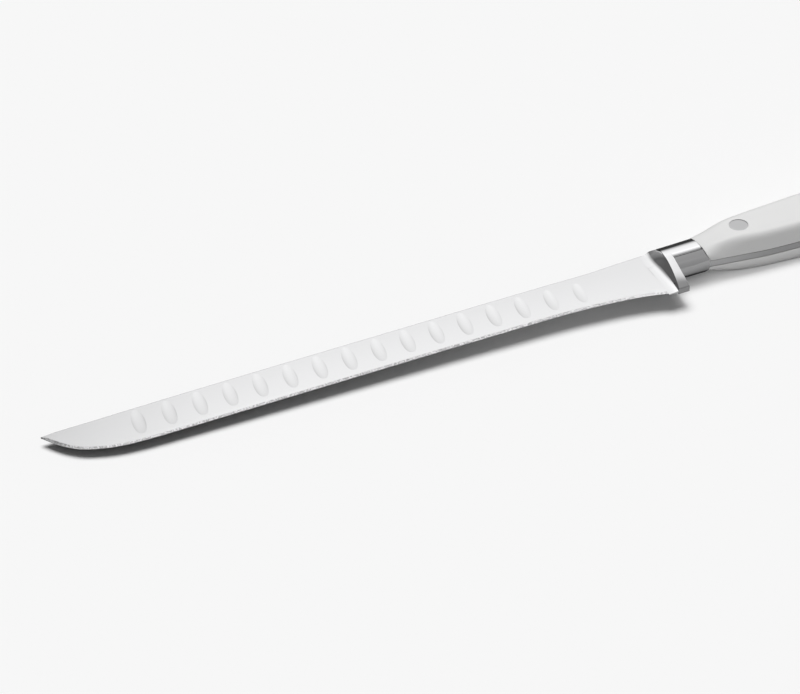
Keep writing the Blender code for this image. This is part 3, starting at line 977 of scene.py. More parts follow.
@dataclass
class Blade:
    """The narrow blade: flat ground sides, rounded spine corners, hollows and a coarse ground edge."""

    lines: KnifeLines
    satin: Material
    edge_finish: Material
    length: float = 0.250
    width: float = 0.0188
    heel_width: float = 0.0268
    heel_flare_length: float = 0.060
    heel_flare_power: float = 2.6
    flare_end_x: float = -0.0031
    heel_corner_x: float = -0.0024
    heel_corner_length: float = 0.0011
    heel_corner_rise: float = 0.0010
    tip_curve_length: float = 0.045
    tip_curve_power: float = 4.5
    tip_blunt_width: float = 0.0003
    spine_thickness: float = 0.0022
    tip_thickness: float = 0.0016
    grind_drop: float = 0.036
    bevel_width: float = 0.0011
    bevel_share: float = 0.6
    edge_land: float = 0.00005
    edge_share: float = 0.8
    corner_radius: float = 0.00025
    corner_share: float = 0.15
    crown: float = 0.00014
    tip_thinning: float = 0.5
    tip_thinning_length: float = 0.006
    spine_dips: Stations = ((-0.250, 0.00085), (-0.232, 0.00080), (-0.212, 0.00060), (-0.194, 0.00046),
                            (-0.154, 0.00042), (-0.113, 0.00050), (-0.072, 0.00052), (-0.045, 0.00070),
                            (-0.029, 0.00090), (-0.012, 0.00020), (-0.004, 0.0))
    edge_dips: Stations = ((-0.250, 0.00085), (-0.2467, 0.00070), (-0.2395, 0.00020), (-0.233, -0.0004),
                           (-0.222, -0.0001), (-0.205, 0.0002), (-0.100, 0.0002), (-0.074, 0.00035),
                           (-0.034, 0.0005), (-0.022, 0.0002), (-0.012, 0.0))
    root_x: float = 0.0010
    tip_rings: int = 72
    body_rings: int = 12
    heel_rings: int = 48
    heel_corner_rings: int = 16
    corner_steps: int = 4
    face_steps: int = 10
    sharp_angle: float = 9.0
    hollows: Hollows = field(default_factory=Hollows)

    def half_thickness(self, x: float, y: float) -> float:
        """Half the thickness between the flat ground sides.

        Args:
            x: Place on the knife.
            y: Place over the section.

        Returns:
            Height over the middle plane.
        """
        taper = (self.spine_thickness - self.tip_thickness) / self.length
        flat = 0.5 * (self.spine_thickness + taper * x) - self.grind_drop * (self.lines.spine_line - y)
        return flat * lerp(self.tip_thinning, 1.0, smooth((x + self.length) / self.tip_thinning_length))

    def spine_at(self, x: float) -> float:
        """Y of the spine, which falls away a little from the straight line before it rises into the guard."""
        return self.lines.spine_line - flow(self.spine_dips, x)

    def surface(self, x: float, y: float) -> float:
        """Find the slightly crowned ground side.

        Args:
            x: Place on the knife.
            y: Place over the section.

        Returns:
            Height over the middle plane.
        """
        top, shoulder = self.spine_at(x) - self.corner_radius, self.shoulder_at(x)
        t = held((top - y) / (top - shoulder))
        swell = self.crown * 4.0 * t * (1.0 - t) * min(1.0, (top - shoulder) / self.width)
        return self.half_thickness(x, y) + swell

    def width_at(self, x: float) -> float:
        """Width from spine to edge, from the curved-up tip to the flared heel.

        Args:
            x: Place on the knife.

        Returns:
            The width before spine and edge dip.
        """
        from_tip = x + self.length
        body = self.width
        if from_tip < self.tip_curve_length:
            share = 1.0 - (1.0 - from_tip / self.tip_curve_length) ** self.tip_curve_power
            body = lerp(self.tip_blunt_width, self.width, share)
        if -x < self.heel_flare_length:
            into = 1.0 + min(x, self.flare_end_x) / self.heel_flare_length
            body += (self.heel_width - self.width) * into**self.heel_flare_power
        return body

    def edge_at(self, x: float) -> float:
        """Find the cutting edge, with the heel's corner rounded up into the end of the guard.

        Args:
            x: Place on the knife.

        Returns:
            The edge's Y.
        """
        share = held((x - self.heel_corner_x) / self.heel_corner_length)
        rise = self.heel_corner_rise * (1.0 - math.sqrt(1.0 - share * share))
        return self.lines.spine_line - self.width_at(x) + rise - flow(self.edge_dips, x)

    def shoulder_at(self, x: float) -> float:
        """Find where the ground side ends and the bevel to the edge starts.

        Args:
            x: Place on the knife.

        Returns:
            The shoulder's Y.
        """
        step = 1e-4
        slope = 1.0
        if x > step - self.length:
            slope = (self.width_at(x + step) - self.width_at(x - step)) / (2 * step)
        edge = self.edge_at(x)
        bevel = self.bevel_width * math.sqrt(1.0 + slope * slope)
        return edge + min(bevel, self.bevel_share * (self.spine_at(x) - edge))

    def places(self) -> list[float]:
        """X stations, close where the outline curves."""
        tip, flare = -self.length, -self.heel_flare_length
        places = [tip + self.tip_curve_length * (k / self.tip_rings) ** 2 for k in range(self.tip_rings + 1)]
        places += even_steps(tip + self.tip_curve_length, flare, self.body_rings)
        places += closing_steps(flare, self.heel_corner_x - flare, self.heel_rings)
        places += closing_steps(self.heel_corner_x, self.heel_corner_length, self.heel_corner_rings)
        return places + [self.root_x]

    def half_ring(self, x: float) -> Outline:
        """Upper half of a section.

        Args:
            x: Place on the knife.

        Returns:
            (y, z) points from the spine to the edge.
        """
        edge, shoulder, top = self.edge_at(x), self.shoulder_at(x), self.spine_at(x)
        radius = min(self.corner_radius, self.corner_share * (top - edge))
        height = self.half_thickness(x, top)
        points = [(top - radius * (1.0 - cosine), height - radius * (1.0 - sine))
                  for sine, cosine in quarter_turn(self.corner_steps)]
        points += [(y, self.surface(x, y)) for y in even_steps(top - radius, shoulder, self.face_steps)]
        land = min(0.5 * self.edge_land, self.edge_share * self.half_thickness(x, shoulder))
        return points + [(edge, land)]

    def stock(self) -> Object:
        """The blade before its hollows are ground."""
        rings = [mirrored(lambda y, at=x: at, self.half_ring(x)) for x in self.places()]
        bm = skin(rings)
        count = len(rings[0])
        sides, bevels = count * (len(rings) - 1), (count // 2 - 2, count // 2)
        for index, face in enumerate(bm.faces):
            face.material_index = int(index < sides and index % count in bevels)
        return drawn("blade", bm, [self.satin, self.edge_finish], self.sharp_angle)

    def grind(self, obj: Object, side: Side) -> None:
        """Add one side's row of hollows.

        Args:
            obj: The blade.
            side: The side that they are cut into.
        """
        cut = self.hollows
        stand_off = cut.bulge - cut.depth
        spread = math.sqrt(1.0 - (stand_off / cut.bulge) ** 2)
        shift = 0.0 if side is Side.UPPER else cut.far_side_shift * cut.pitch
        y = self.lines.spine_line - cut.below_spine
        tilt = Matrix.Rotation(side.value * math.atan(self.grind_drop), 4, "X")

        def centre(k: int) -> Vector:
            """Find a cutter's centre.

            Args:
                k: The cutter's number, counted from the guard.

            Returns:
                Its place in the knife's straight frame.
            """
            x = shift - cut.last_to_guard - k * cut.pitch
            foot = Vector((x, y, side.value * self.half_thickness(x, y)))
            return foot + tilt @ Vector((0.0, 0.0, side.value * stand_off))

        half_size = Vector((0.5 * cut.width / spread ** (2.0 / 3.0), 0.5 * cut.length / spread, cut.bulge))
        run_tree(obj, f"hollows_{side.name.lower()}", Hollows.tree(), {
            "Count": cut.count, "Sides": cut.sides, "First place": centre(0), "Step": centre(1) - centre(0),
            "Turn": (tilt @ Matrix.Rotation(-cut.lean, 4, "Z")).to_euler(), "Half size": half_size,
            "Droop": -cut.row_droop, "Level share": cut.level_share, "Edge-end power": cut.wall_power[0],
            "Spine-end power": cut.wall_power[1], "Finish": self.satin})

    def build(self) -> Object:
        """The finished blade, laid in place."""
        obj = self.stock()
        for side in Side:
            self.grind(obj, side)
        bake(obj)
        return self.lines.lay(obj)


# The guard and the bolster


@dataclass
class GuardAndBolster:
    """Finger guard and bolster, polished in one piece with a soft foot on the blade."""

    lines: KnifeLines
    blade: Blade
    finish: Material
    fillet_run: float = 0.0042
    fillet_share: float = 0.285
    fillet_power: float = 2.6
    reach: float = 0.01775
    spine_rise: float = 0.0005
    spine_rise_shares: Point2 = (0.03, 0.27)
    roll_y: float = -0.0002
    edge_round: float = 0.00015
    crease_run: float = 0.0010
    # The last two points at the guard's end: how far out and how far down, in rounds of the edge
    end_round: Stations = ((0.3, 0.5), (0.0, 1.2))
    lift: float = 0.000005
    roll: Stations = ((0.0, 0.0), (-0.00025, -0.00001), (-0.0005, -0.00006), (-0.0008, -0.00014),
                      (-0.0011, -0.000225), (-0.0014, -0.00032), (-0.0015, -0.00052))
    lip: Point2 = (-0.0029, -0.00020)
    # The neck's corners: at the guard, at the scales, and how much fuller the under side is
    facet_end: Stations = ((-0.00564, 0.00346), (-0.00569, 0.00339), (-0.0003, 0.0004))
    belly_corner: Stations = ((-0.00704, 0.00307), (-0.00698, 0.00292), (-0.0003, 0.0005))
    belly_wall: Stations = ((-0.00735, 0.00141), (-0.00745, 0.0022), (0.0, 0.0))
    # Lines across the knife: y and x
    foot: Stations = ((-0.0175, -0.00168), (-0.0072, -0.00119), (-0.0037, -0.00111), (-0.00044, -0.00127),
                      (0.0021, -0.00142), (0.00466, -0.00132), (0.0065, -0.00098), (0.0087, -0.0005))
    front_edge: Stations = ((-0.0175, -0.00145), (-0.0110, -0.00010), (-0.0060, 0.00078), (-0.00275, 0.00131),
                            (0.0020, 0.00183), (0.0087, 0.00268))
    back_edge: Stations = ((-0.0175, 0.00319), (-0.0110, 0.00350), (-0.0060, 0.00405), (-0.00275, 0.00457),
                           (0.0087, 0.00568))
    # The guard's side below the crease: y and z
    guard_top: Stations = ((-0.01775, 0.00115), (-0.0162, 0.00184), (-0.0146, 0.00242), (-0.0123, 0.00312),
                           (-0.0100, 0.00371), (-0.0070, 0.00431), (-0.00275, 0.00474), (-0.0002, 0.0048))
    fillet_rings: int = 24
    wall_rings: int = 18
    round_rings: int = 4
    neck_rings: int = 14
    corner_steps: int = 18
    face_steps: int = 4
    belly_points: int = 26
    sharp_angle: float = 13.0

    def top_half(self, spine_y: float, height: float) -> Outline:
        """The part that guard and neck share: spine corner and flat top.

        Args:
            spine_y: Y of the spine wall's foot.
            height: The flat top's height.

        Returns:
            (y, z) points from the spine as far as the roll to the crease.
        """
        spine = (spine_y, 0.5 * self.lines.tang_thickness)
        corner = (spine_y - NECK_CORNERS.spine_inset, height)
        flat = (corner[0] - NECK_CORNERS.spine_run, height)
        soft = bend(mixed(corner, spine, NECK_CORNERS.spine_share), corner, flat, self.corner_steps)
        return [spine] + soft + straight(flat, (self.roll_y, height), self.face_steps)

    def guard_half(self, share: float, x_of_y: Line, shrink: float, belly_shrink: float) -> Outline:
        """Upper half section of the guard.

        Args:
            share: 0 on the blade's surface, 1 at full height.
            x_of_y: The section's place along the knife.
            shrink: How far the section sits inside its full size.
            belly_shrink: The same, for the part below the crease only.

        Returns:
            (y, z) points from the spine to the end of the guard.
        """
        blade_top = self.blade.spine_at(min(0.0, x_of_y(self.lines.spine_line))) - self.blade.corner_radius
        low, run = self.spine_rise_shares
        spine_y = lerp(blade_top, self.lines.spine_line + self.spine_rise, smooth((share - low) / run))
        height = 0.5 * self.lines.bolster_thickness - shrink
        full = self.top_half(spine_y - shrink, height)
        top_count = len(full)
        end_y = -self.reach + shrink + belly_shrink
        count = self.belly_points - len(self.end_round) - 1
        for y in [self.roll_y] + even_steps(self.roll_y, end_y + self.edge_round, count):
            inside = shrink + belly_shrink * smooth((self.roll_y - y) / self.crease_run)
            full.append((y, flow(self.guard_top, y) - inside))
        last = full[-1][1]
        for out, down in self.end_round:
            full.append((end_y + out * self.edge_round, last - down * self.edge_round))
        half = []
        for i, (y, z) in enumerate(full):
            x = min(0.0, x_of_y(y))
            ground = self.blade.surface(x, min(y, self.blade.spine_at(x))) + self.lift
            half.append((y, min(z, lerp(ground, height, share)) if i < top_count else lerp(ground, z, share)))
        return half

    def neck_half(self, t: float, under: float) -> Outline:
        """Half section of the bolster's neck.

        Args:
            t: 0 at the guard, 1 at the scales.
            under: 1 on the under side, which is fuller, and 0 on the upper side.

        Returns:
            (y, z) points from the spine to the belly.
        """
        line = self.lines
        height = 0.5 * lerp(line.bolster_thickness, line.bolster_rear_thickness, t)
        half = self.top_half(lerp(line.spine_line + self.spine_rise, line.neck_to_spine, t), height)
        half += [(self.roll_y + y, height + z) for y, z in self.roll]
        lip = (self.lip[0], height + self.lip[1])
        turns = []
        for guard_end, scale_end, fuller in (self.facet_end, self.belly_corner, self.belly_wall):
            y, z = mixed(guard_end, scale_end, t)
            turns.append((y + fuller[0] * under, z + fuller[1] * under))
        count = self.belly_points - len(self.roll) - self.face_steps - 1
        return half + [lip] + straight(lip, turns[0], self.face_steps) + bend(*turns, count)

    def rings(self) -> list[Ring]:
        """Rings from the start of the fillet to the scales."""
        foot, front, back = leaning(self.foot), leaning(self.front_edge), leaning(self.back_edge)
        sections = []
        for k in range(self.fillet_rings):
            t = k / self.fillet_rings
            place = shifted(foot, -self.fillet_run * (1.0 - t))
            sections.append((self.fillet_share * t**self.fillet_power, place, 0.0, 0.0))
        for k in range(self.wall_rings + 1):
            t = k / self.wall_rings
            share = lerp(self.fillet_share, 1.0, t)
            sections.append((share, between(foot, front, t), self.edge_round * t * t, 0.0))
        for sine, _ in quarter_turn(self.round_rings)[1:]:
            place = shifted(front, self.edge_round * sine)
            sections.append((1.0, place, self.edge_round * (1.0 - sine), 0.0))
        for sine, cosine in quarter_turn(self.round_rings):
            place = shifted(back, -self.edge_round * (1.0 - sine))
            sections.append((1.0, place, 0.0, self.edge_round * (1.0 - cosine)))
        made = [mirrored(section[1], self.guard_half(*section)) for section in sections]
        for k in range(self.neck_rings + 1):
            t = k / self.neck_rings
            under = [(y, -z) for y, z in reversed(self.neck_half(t, 1.0))]
            whole = self.neck_half(t, 0.0) + under
            made.append([(lerp(back(y), self.lines.junction_x(z), t), y, z) for y, z in whole])
        return made

    def build(self) -> Object:
        """The finished guard and bolster, laid in place."""
        return self.lines.lay(drawn("guard_and_bolster", skin(self.rings()), [self.finish], self.sharp_angle))


# The tang


@dataclass
class Tang:
    """The full tang, whose ground edge shows between the scales all round the handle."""

    lines: KnifeLines
    finish: Material
    chamfer: float = 0.00012
    chamfer_share: float = 0.2
    overlap: float = 0.0012
    overlap_lean: float = 0.3
    flat_rings: int = 60
    face_steps: int = 4
    sharp_angle: float = 25.0

    def rings(self) -> list[Ring]:
        """Rings from inside the bolster to the butt."""
        half = 0.5 * self.lines.tang_thickness
        start = self.lines.bolster_length
        rings = []
        for x in [start - self.overlap] + self.lines.handle_places(self.flat_rings):
            inside = self.overlap_lean * max(0.0, start - x)
            spine, belly = self.lines.spine(x) - inside, self.lines.belly(x) + inside
            cut = min(self.chamfer, self.chamfer_share * (spine - belly))
            section = [(spine, 0.0), (spine, half - cut), (spine - cut, half)]
            section += straight((spine - cut, half), (belly + cut, half), self.face_steps)
            section += [(belly + cut, half), (belly, half - cut), (belly, 0.0)]
            rings.append([(x, y, z) for y, z in section] + [(x, y, -z) for y, z in reversed(section[1:-1])])
        return rings

    def build(self) -> Object:
        """The finished tang, laid in place."""
        return self.lines.lay(drawn("tang", skin(self.rings()), [self.finish], self.sharp_angle))


# The scales


@dataclass
class Scale:
    """One moulded handle scale with its three rivet seats."""

    lines: KnifeLines
    side: Side
    finish: Material
    upper_seam: float = 0.00025
    lower_seam: float = 0.00012
    front_gap: float = 0.0001
    # By the share of the front rise: the belly corner's inset, and where the other corners have turned soft
    belly_insets: Stations = ((0.0, NECK_CORNERS.belly_inset), (0.4, 0.0023), (1.3, 0.00209), (2.6, 0.0017))
    soft_from: float = 1.2
    soft_early: float = 0.4
    edge_round: float = 0.00008
    bow_fade: float = 0.005
    seat_radius: float = 0.00378
    seat_depth: float = 0.0009
    flat_rings: int = 70
    round_rings: int = 3
    sharp_angle: float = 20.0

    def corners(self, x: float) -> Corners:
        """Corners along the handle: the bolster's at the front, then soft, wide ones.

        Args:
            x: Place on the knife.

        Returns:
            The section's corners there.
        """
        offset = (x - self.lines.bolster_length) / self.lines.rise_length
        late, early = smooth(offset / self.soft_from), smooth(offset / self.soft_early)
        shares = {"spine_inset": late, "spine_share": late, "spine_run": late, "belly_share": late,
                  "belly_run": early, "belly_drop": early}
        eased = {name: lerp(getattr(NECK_CORNERS, name), getattr(SOFT_CORNERS, name), share)
                 for name, share in shares.items()}
        return Corners(belly_inset=flow(self.belly_insets, offset), **eased)

    def section(self, x: float, shrink: float) -> Outline:
        """Upper half section of the handle.

        Args:
            x: Place on the knife.
            shrink: How far the section sits inside its full size.

        Returns:
            (y, z) points from the spine wall's foot to the belly wall's foot.
        """
        seam = self.upper_seam if self.side is Side.UPPER else self.lower_seam
        foot = 0.5 * self.lines.tang_thickness + seam
        spine, belly = self.lines.spine(x) - shrink, self.lines.belly(x) + shrink
        height = self.lines.scale_height(x) - shrink
        return self.corners(x).half_section((spine, foot), (belly, foot), height)

    def rings(self) -> list[Ring]:
        """Rings from the bolster to the butt."""
        start = self.lines.bolster_length
        places = [(start + self.front_gap + self.edge_round * (1.0 - cosine), self.edge_round * (1.0 - sine))
                  for sine, cosine in quarter_turn(self.round_rings)[:-1]]
        places += [(x, 0.0) for x in self.lines.handle_places(self.flat_rings)[1:]]
        made = []
        for x, shrink in places:
            fade = 1.0 - smooth((x - start) / self.bow_fade)
            made.append([(x + fade * (self.lines.junction_x(z) - start), y, self.side.value * z)
                         for y, z in self.section(x, shrink)])
        return made

    def build(self) -> Object:
        """The finished scale, laid in place."""
        name = f"{self.side.name.lower()}_scale_moulded"
        obj = drawn(name, skin(self.rings()), [self.finish], self.sharp_angle)
        places = [Vector((x, y, self.side.value * self.lines.side_face(x))) for x, y in self.lines.rivets()]
        run_tree(obj, "rivet_seats", seat_tree(), {
            "Count": len(places), "First place": places[0], "Step": places[1] - places[0],
            "Radius": self.seat_radius, "Depth": self.seat_depth, "Finish": self.finish})
        bake(obj)
        return self.lines.lay(obj)


def seat_tree() -> Tree:
    """Geometry Nodes tree that sinks a round seat for each rivet of a row into a scale."""

    def build(g: GraphMaker) -> None:
        """Lay the nodes.

        Args:
            g: The tree's maker.
        """
        given = g.given()
        drum = g.geo("MeshCylinder", "Mesh", {"Vertices": ROUND_SIDES, "Radius": given["Radius"],
                                              "Depth": g.math("MULTIPLY", given["Depth"], 2.0)})
        cut_row(g, given, {"Points": row_of_points(g, given), "Instance": drum})

    inputs = {"Count": 3, "First place": "Vector", "Step": "Vector", "Radius": 0.004, "Depth": 0.001}
    return geometry_tree("row_of_rivet_seats", inputs, build)


# The rivets


def turning_tree() -> Tree:
    """Geometry Nodes tree that turns a (radius, height) outline into a closed round piece."""

    def build(g: GraphMaker) -> None:
        """Lay the nodes.

        Args:
            g: The tree's maker.
        """
        given = g.given()
        outline = g.geo("MeshToCurve", "Curve", {"Mesh": given["Geometry"]})
        path = g.geo("CurvePrimitiveCircle", "Curve", {"Resolution": given["Sides"],
                                                       "Radius": given["Path radius"]})
        turned = g.geo("CurveToMesh", "Mesh", {"Curve": path, "Profile Curve": outline, "Fill Caps": False})
        joined = g.geo("MergeByDistance", 0, {"Geometry": turned, "Distance": TURNED_MERGE})
        end_tree(g, given, g.geo("Transform", 0, {"Geometry": joined, "Translation": given["Centre"]}))

    inputs = {"Sides": ROUND_SIDES, "Path radius": 0.01, "Centre": "Vector"}
    return geometry_tree("turned_piece", inputs, build)


@dataclass
class Rivet:
    """A two-part cutler's rivet: a socket half from above and a stud half from below."""

    name: str
    lines: KnifeLines
    centre: Point2
    finish: Material
    head_diameter: float = 0.0075
    head_depth: float = 0.0026
    shank_diameter: float = 0.0050
    bore_diameter: float = 0.0030
    engagement: float = 0.0040
    clearance: float = 0.0003
    sunk: float = 0.00004
    rim_width: float = 0.00055
    rim_drop: float = 0.00006
    path_radius: float = 0.02
    sides: int = ROUND_SIDES
    flat_steps: int = 6
    rim_steps: int = 4
    sharp_angle: float = 20.0

    def head(self, face: float, sign: int) -> Outline:
        """Outline of a head.

        Args:
            face: Height of its face over the middle plane.
            sign: 1 on the upper side, -1 on the lower.

        Returns:
            (radius, height) points from its middle to its underside's outer edge.
        """
        radius = 0.5 * self.head_diameter
        flat = radius - self.rim_width
        points = [(flat * k / self.flat_steps, sign * face) for k in range(self.flat_steps + 1)]
        for share in even_steps(0.0, 1.0, self.rim_steps):
            points.append((lerp(flat, radius, share), sign * (face - self.rim_drop * share**2)))
        return points + [(radius, sign * (face - self.head_depth))]

    def turned(self, half: str, outline: Outline) -> Object:
        """Turn an outline into one half of the rivet.

        Args:
            half: The half's name.
            outline: (radius, height) points from the axis to the axis.

        Returns:
            The finished half, laid in place.
        """
        name = f"{self.name}_rivet_{half}_turned"
        mesh = bpy.data.meshes.new(name)
        corners = [(radius - self.path_radius, height, 0.0) for radius, height in outline]
        mesh.from_pydata(corners, [(k, k + 1) for k in range(len(corners) - 1)], [])
        obj = linked(name, mesh)
        run_tree(obj, "turning", turning_tree(), {"Sides": self.sides, "Path radius": self.path_radius,
                                                  "Centre": (*self.centre, 0.0), "Finish": self.finish})
        bake(obj)
        bm = bmesh.new()
        bm.from_mesh(obj.data)
        shade(obj.data, bm, TURNED_MERGE, self.sharp_angle)
        return self.lines.lay(obj)

    def build(self) -> list[Object]:
        """Both halves: the socket with its bore, and the stud with its pin."""
        face = self.lines.side_face(self.centre[0]) - self.sunk
        shoulder = face - self.head_depth
        shank, bore = 0.5 * self.shank_diameter, 0.5 * self.bore_diameter
        mouth = -shoulder + self.clearance
        bottom = mouth + self.engagement + self.clearance
        pin, pin_end = bore - self.clearance, bottom - self.clearance
        socket = [(shank, shoulder), (shank, mouth), (bore, mouth), (bore, bottom), (0.0, bottom)]
        stud = [(pin, -shoulder), (pin, pin_end), (0.0, pin_end)]
        return [self.turned("socket", self.head(face, 1) + socket),
                self.turned("stud", self.head(face, -1) + stud)]


# The studio


@dataclass
class Studio:
    """Pale floor with painted light and a painted reflection, soft overhead light, the pale room that the
    metal mirrors, and the camera.
    """

    floor_tone: float = 0.93
    floor_size: float = 12.0
    sun_share: float = 0.87
    sun_angle: float = math.radians(39.0)
    sun_back_tilt: float = math.radians(13.5)
    lens: float = 135.0
    sensor: float = 36.0
    clip: Point2 = (0.05, 50.0)
    camera_target: Point3 = (-0.16295, 0.00597, -0.00048)
    camera_distance: float = 1.1268
    camera_azimuth: float = math.radians(-25.459)
    camera_elevation: float = math.radians(36.5)
    # What polished metal mirrors: levels by the angle over the horizon, and by X along the room
    room: Stations = ((-180.0, 0.28), (-120.0, 0.20), (-60.0, 0.05), (0.0, 0.035), (17.0, 0.05), (24.0, 0.52),
                      (31.0, 0.90), (39.0, 1.0), (50.0, 1.13), (65.0, 1.12), (70.0, 0.93), (74.0, 0.55),
                      (78.0, 0.38), (84.0, 0.36), (110.0, 0.33), (150.0, 0.31), (180.0, 0.30))
    room_along: Stations = ((-1.0, 0.05), (-0.55, 0.06), (-0.35, 0.35), (-0.12, 0.95), (0.05, 1.05),
                            (0.310, 1.117), (0.342, 1.106), (0.373, 1.076), (0.43, 1.055), (0.6, 1.0),
                            (0.85, 0.6), (1.0, 0.3))
    low_glow: float = 0.13
    low_glow_x: Point2 = (-0.6, -0.25)
    # Painted light: a glow that only the camera sees. It lifts the knife's shadow, more towards the handle
    # and most in the tail of the handle's shadow, while the lit floor keeps its level
    floor_glow: Stations = ((-0.26, 0.0), (-0.21, 0.02), (-0.17, 0.045), (-0.128, 0.08), (-0.085, 0.10),
                            (-0.060, 0.085), (-0.042, 0.08), (0.06, 0.10))
    handle_glow: Stations = ((-0.0150, 0.83), (-0.0120, 0.55), (-0.0095, 0.28), (-0.0060, 0.20),
                             (-0.0020, 0.05), (0.0, 0.0))
    handle_glow_x: Point2 = (-0.057, -0.044)
    # Painted reflection: the floor's tone as polished metal sees it, by Y, darkest close to the knife and
    # behind it
    floor_cards: Stations = ((-0.060, 0.38), (-0.040, 0.42), (-0.024, 0.46), (-0.0165, 0.375), (-0.014, 0.24),
                             (-0.012, 0.136), (-0.0105, 0.09), (0.014, 0.05))

    def floor(self) -> None:
        """The pale floor, with painted light that lifts the knife's shadow for the camera, and a painted
        reflection: polished metal sees it much darker, darkest close to the knife and behind it.
        """
        made, g = new_material("pale_floor")
        rays = g.node("ShaderNodeLightPath").outputs
        part = g.parts(g.place())
        # Painted light: a camera-only glow that lifts the shadow, taken out of the diffuse tone so the lit
        # floor stays even
        near_handle = g.math("MULTIPLY", g.ranged(part["X"], *self.handle_glow_x),
                             g.levels(part["Y"], self.handle_glow))
        glow = g.math("MULTIPLY", rays["Is Camera Ray"],
                      g.math("ADD", g.levels(part["X"], self.floor_glow), near_handle))
        # Painted reflection: glossy rays see the floor darker
        mirrored_shade = g.math("SUBTRACT", g.levels(part["Y"], self.floor_cards), self.floor_tone)
        tone = g.math("MULTIPLY_ADD", rays["Is Glossy Ray"], mirrored_shade, g.math("SUBTRACT", self.floor_tone, glow))
        surface = g.node("ShaderNodeBsdfDiffuse", {"Color": tone}).outputs["BSDF"]
        painted_light = g.node("ShaderNodeEmission", {"Strength": glow}).outputs["Emission"]
        both = g.node("ShaderNodeAddShader", {0: surface, 1: painted_light}).outputs["Shader"]
        g.node("ShaderNodeOutputMaterial", {"Surface": both})
        half = 0.5 * self.floor_size
        mesh = bpy.data.meshes.new("floor")
        corners = [(-half, -half, 0.0), (half, -half, 0.0), (half, half, 0.0), (-half, half, 0.0)]
        mesh.from_pydata(corners, [], [(0, 1, 2, 3)])
        mesh.materials.append(made)
        obj = linked("floor", mesh)

    def sun(self) -> None:
        """One broad soft lamp, almost overhead and slightly behind."""
        lamp = bpy.data.lights.new("overhead", "SUN")
        lamp.energy = math.pi * self.sun_share / math.cos(self.sun_back_tilt)
        lamp.angle = self.sun_angle
        obj = linked("overhead", lamp)
        obj.rotation_euler = (-self.sun_back_tilt, 0.0, 0.0)
        obj.visible_glossy = False

    def world(self) -> None:
        """Pale room: even weak light on everything, and softboxes that only polished surfaces mirror."""
        world = bpy.data.worlds.new("pale_room")
        world.use_nodes = True
        world.node_tree.nodes.clear()
        bpy.context.scene.world = world
        g = GraphMaker(world.node_tree)
        part = g.parts(g.place("Generated"))
        angle = g.math("MULTIPLY", g.math("ARCTAN2", part["Z"], part["Y"]), 180.0 / math.pi)
        lit = g.math("MULTIPLY", g.levels(angle, self.room), g.levels(part["X"], self.room_along))
        mirrored_room = g.math("MAXIMUM", lit, g.ranged(part["X"], *self.low_glow_x, self.low_glow, 0.0))
        rays = g.node("ShaderNodeLightPath").outputs
        glossy = g.math("MAXIMUM", rays["Is Glossy Ray"], rays["Is Transmission Ray"])
        ambient = 1.0 - self.sun_share
        strength = g.math("MULTIPLY_ADD", glossy, g.math("SUBTRACT", mirrored_room, ambient), ambient)
        seen = g.math("SUBTRACT", self.floor_tone, strength)
        strength = g.math("MULTIPLY_ADD", rays["Is Camera Ray"], seen, strength)
        back = g.node("ShaderNodeBackground", {"Color": (1.0, 1.0, 1.0, 1.0), "Strength": strength})
        g.node("ShaderNodeOutputWorld", {"Surface": back.outputs["Background"]})

    def camera(self) -> None:
        """The camera at the photographed angle."""
        data = bpy.data.cameras.new("camera")
        data.lens = self.lens
        data.sensor_width = self.sensor
        data.clip_start, data.clip_end = self.clip
        obj = linked("camera", data)
        a, e = self.camera_azimuth, self.camera_elevation
        back = Vector((math.sin(a) * math.cos(e), -math.cos(a) * math.cos(e), math.sin(e)))
        obj.location = Vector(self.camera_target) + back * self.camera_distance
        obj.rotation_mode = "QUATERNION"
        obj.rotation_quaternion = (-back).to_track_quat("-Z", "Y")
        bpy.context.scene.camera = obj

    def build(self) -> None:
        """Set up the whole studio."""
        self.floor()
        self.sun()
        self.world()
        self.camera()
        bpy.context.scene.view_settings.view_transform = "Standard"


# Putting it together


def adopt(piece: Object, slot: Slot, *nodes: str) -> None:
    """Let a piece ride with the knife and stand for CAD nodes.

    Args:
        piece: The finished piece.
        slot: The record's material slot; not used.
        nodes: The CAD nodes that it stands for.
    """
    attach(piece, "root")
    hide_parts(*nodes)
    LOG.info("%s: %d faces", piece.name, len(piece.data.polygons))


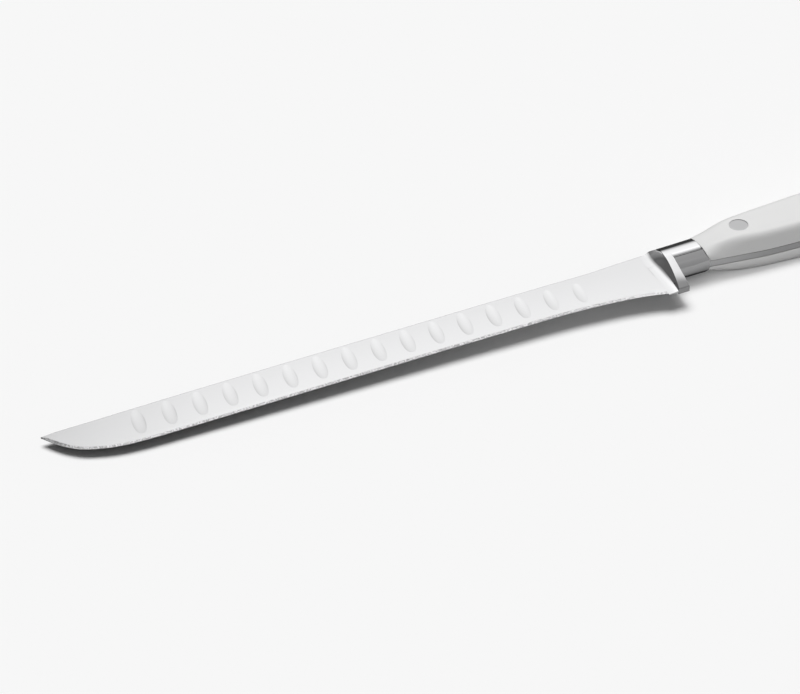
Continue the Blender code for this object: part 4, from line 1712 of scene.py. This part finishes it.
def main() -> None:
    """Build the dressed knife and its studio."""
    logging.basicConfig(level=logging.INFO, format="%(name)s %(message)s")
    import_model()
    lines = KnifeLines()
    # The satin blade's tone is painted shade: darker towards the tip
    satin = Steel("satin_steel", tone=0.731, roughness=0.20, lines=(5200.0, 260.0, 5200.0),
                  grain_height=0.0000012, grain_contrast=0.03,
                  along=((-0.305, 0.80), (-0.297, 0.824), (-0.283, 0.88), (-0.245, 0.97), (-0.205, 1.0)))
    edge_finish = GroundEdge("coarse_ground_edge", tone=0.77, roughness=0.5, lines=(2300.0, 1200.0, 2300.0),
                             grain_height=0.00003, grain_contrast=0.5, metallic=0.45)
    polished = PolishedSteel("polished_steel", tone=0.88, roughness=0.07, lines=(900.0, 5200.0, 5200.0),
                             grain_height=0.0000006, grain_contrast=0.02, satin_x=-0.0592, polished_x=-0.0567,
                             satin_roughness=satin.roughness, satin_tone=satin.tone)
    # The tang's tone is a painted reflection: lighter near the bolster, darker towards the butt
    ground = Steel("ground_tang", tone=0.80, roughness=0.38, lines=(300.0, 6000.0, 6000.0),
                   grain_height=0.000006, grain_contrast=0.12,
                   along=((-0.035, 1.0), (-0.026, 0.87), (-0.015, 0.72), (-0.005, 0.67)))
    rivet_metal = Steel("rivet_metal", tone=0.55, roughness=0.34, lines=(3200.0, 500.0, 3200.0),
                        grain_height=0.000003, grain_contrast=0.08).material()
    white = MouldedWhite().material()

    blade = Blade(lines, satin.material(), edge_finish.material())
    adopt(blade.build(), Slot.STEEL, "blade_bolster_tang")
    adopt(GuardAndBolster(lines, blade, polished.material()).build(), Slot.STEEL, "blade_bolster_tang")
    adopt(Tang(lines, ground.material()).build(), Slot.STEEL, "blade_bolster_tang")
    for side in Side:
        adopt(Scale(lines, side, white).build(), Slot.WHITE, f"{side.name.lower()}_scale")
    for name, centre in zip(("front", "middle", "rear"), lines.rivets()):
        socket, stud = Rivet(name, lines, centre, rivet_metal).build()
        adopt(socket, Slot.RIVET, f"{name}_rivet_socket")
        adopt(stud, Slot.RIVET, f"{name}_rivet_stud")
    Studio().build()


if __name__ == "__main__":
    main()
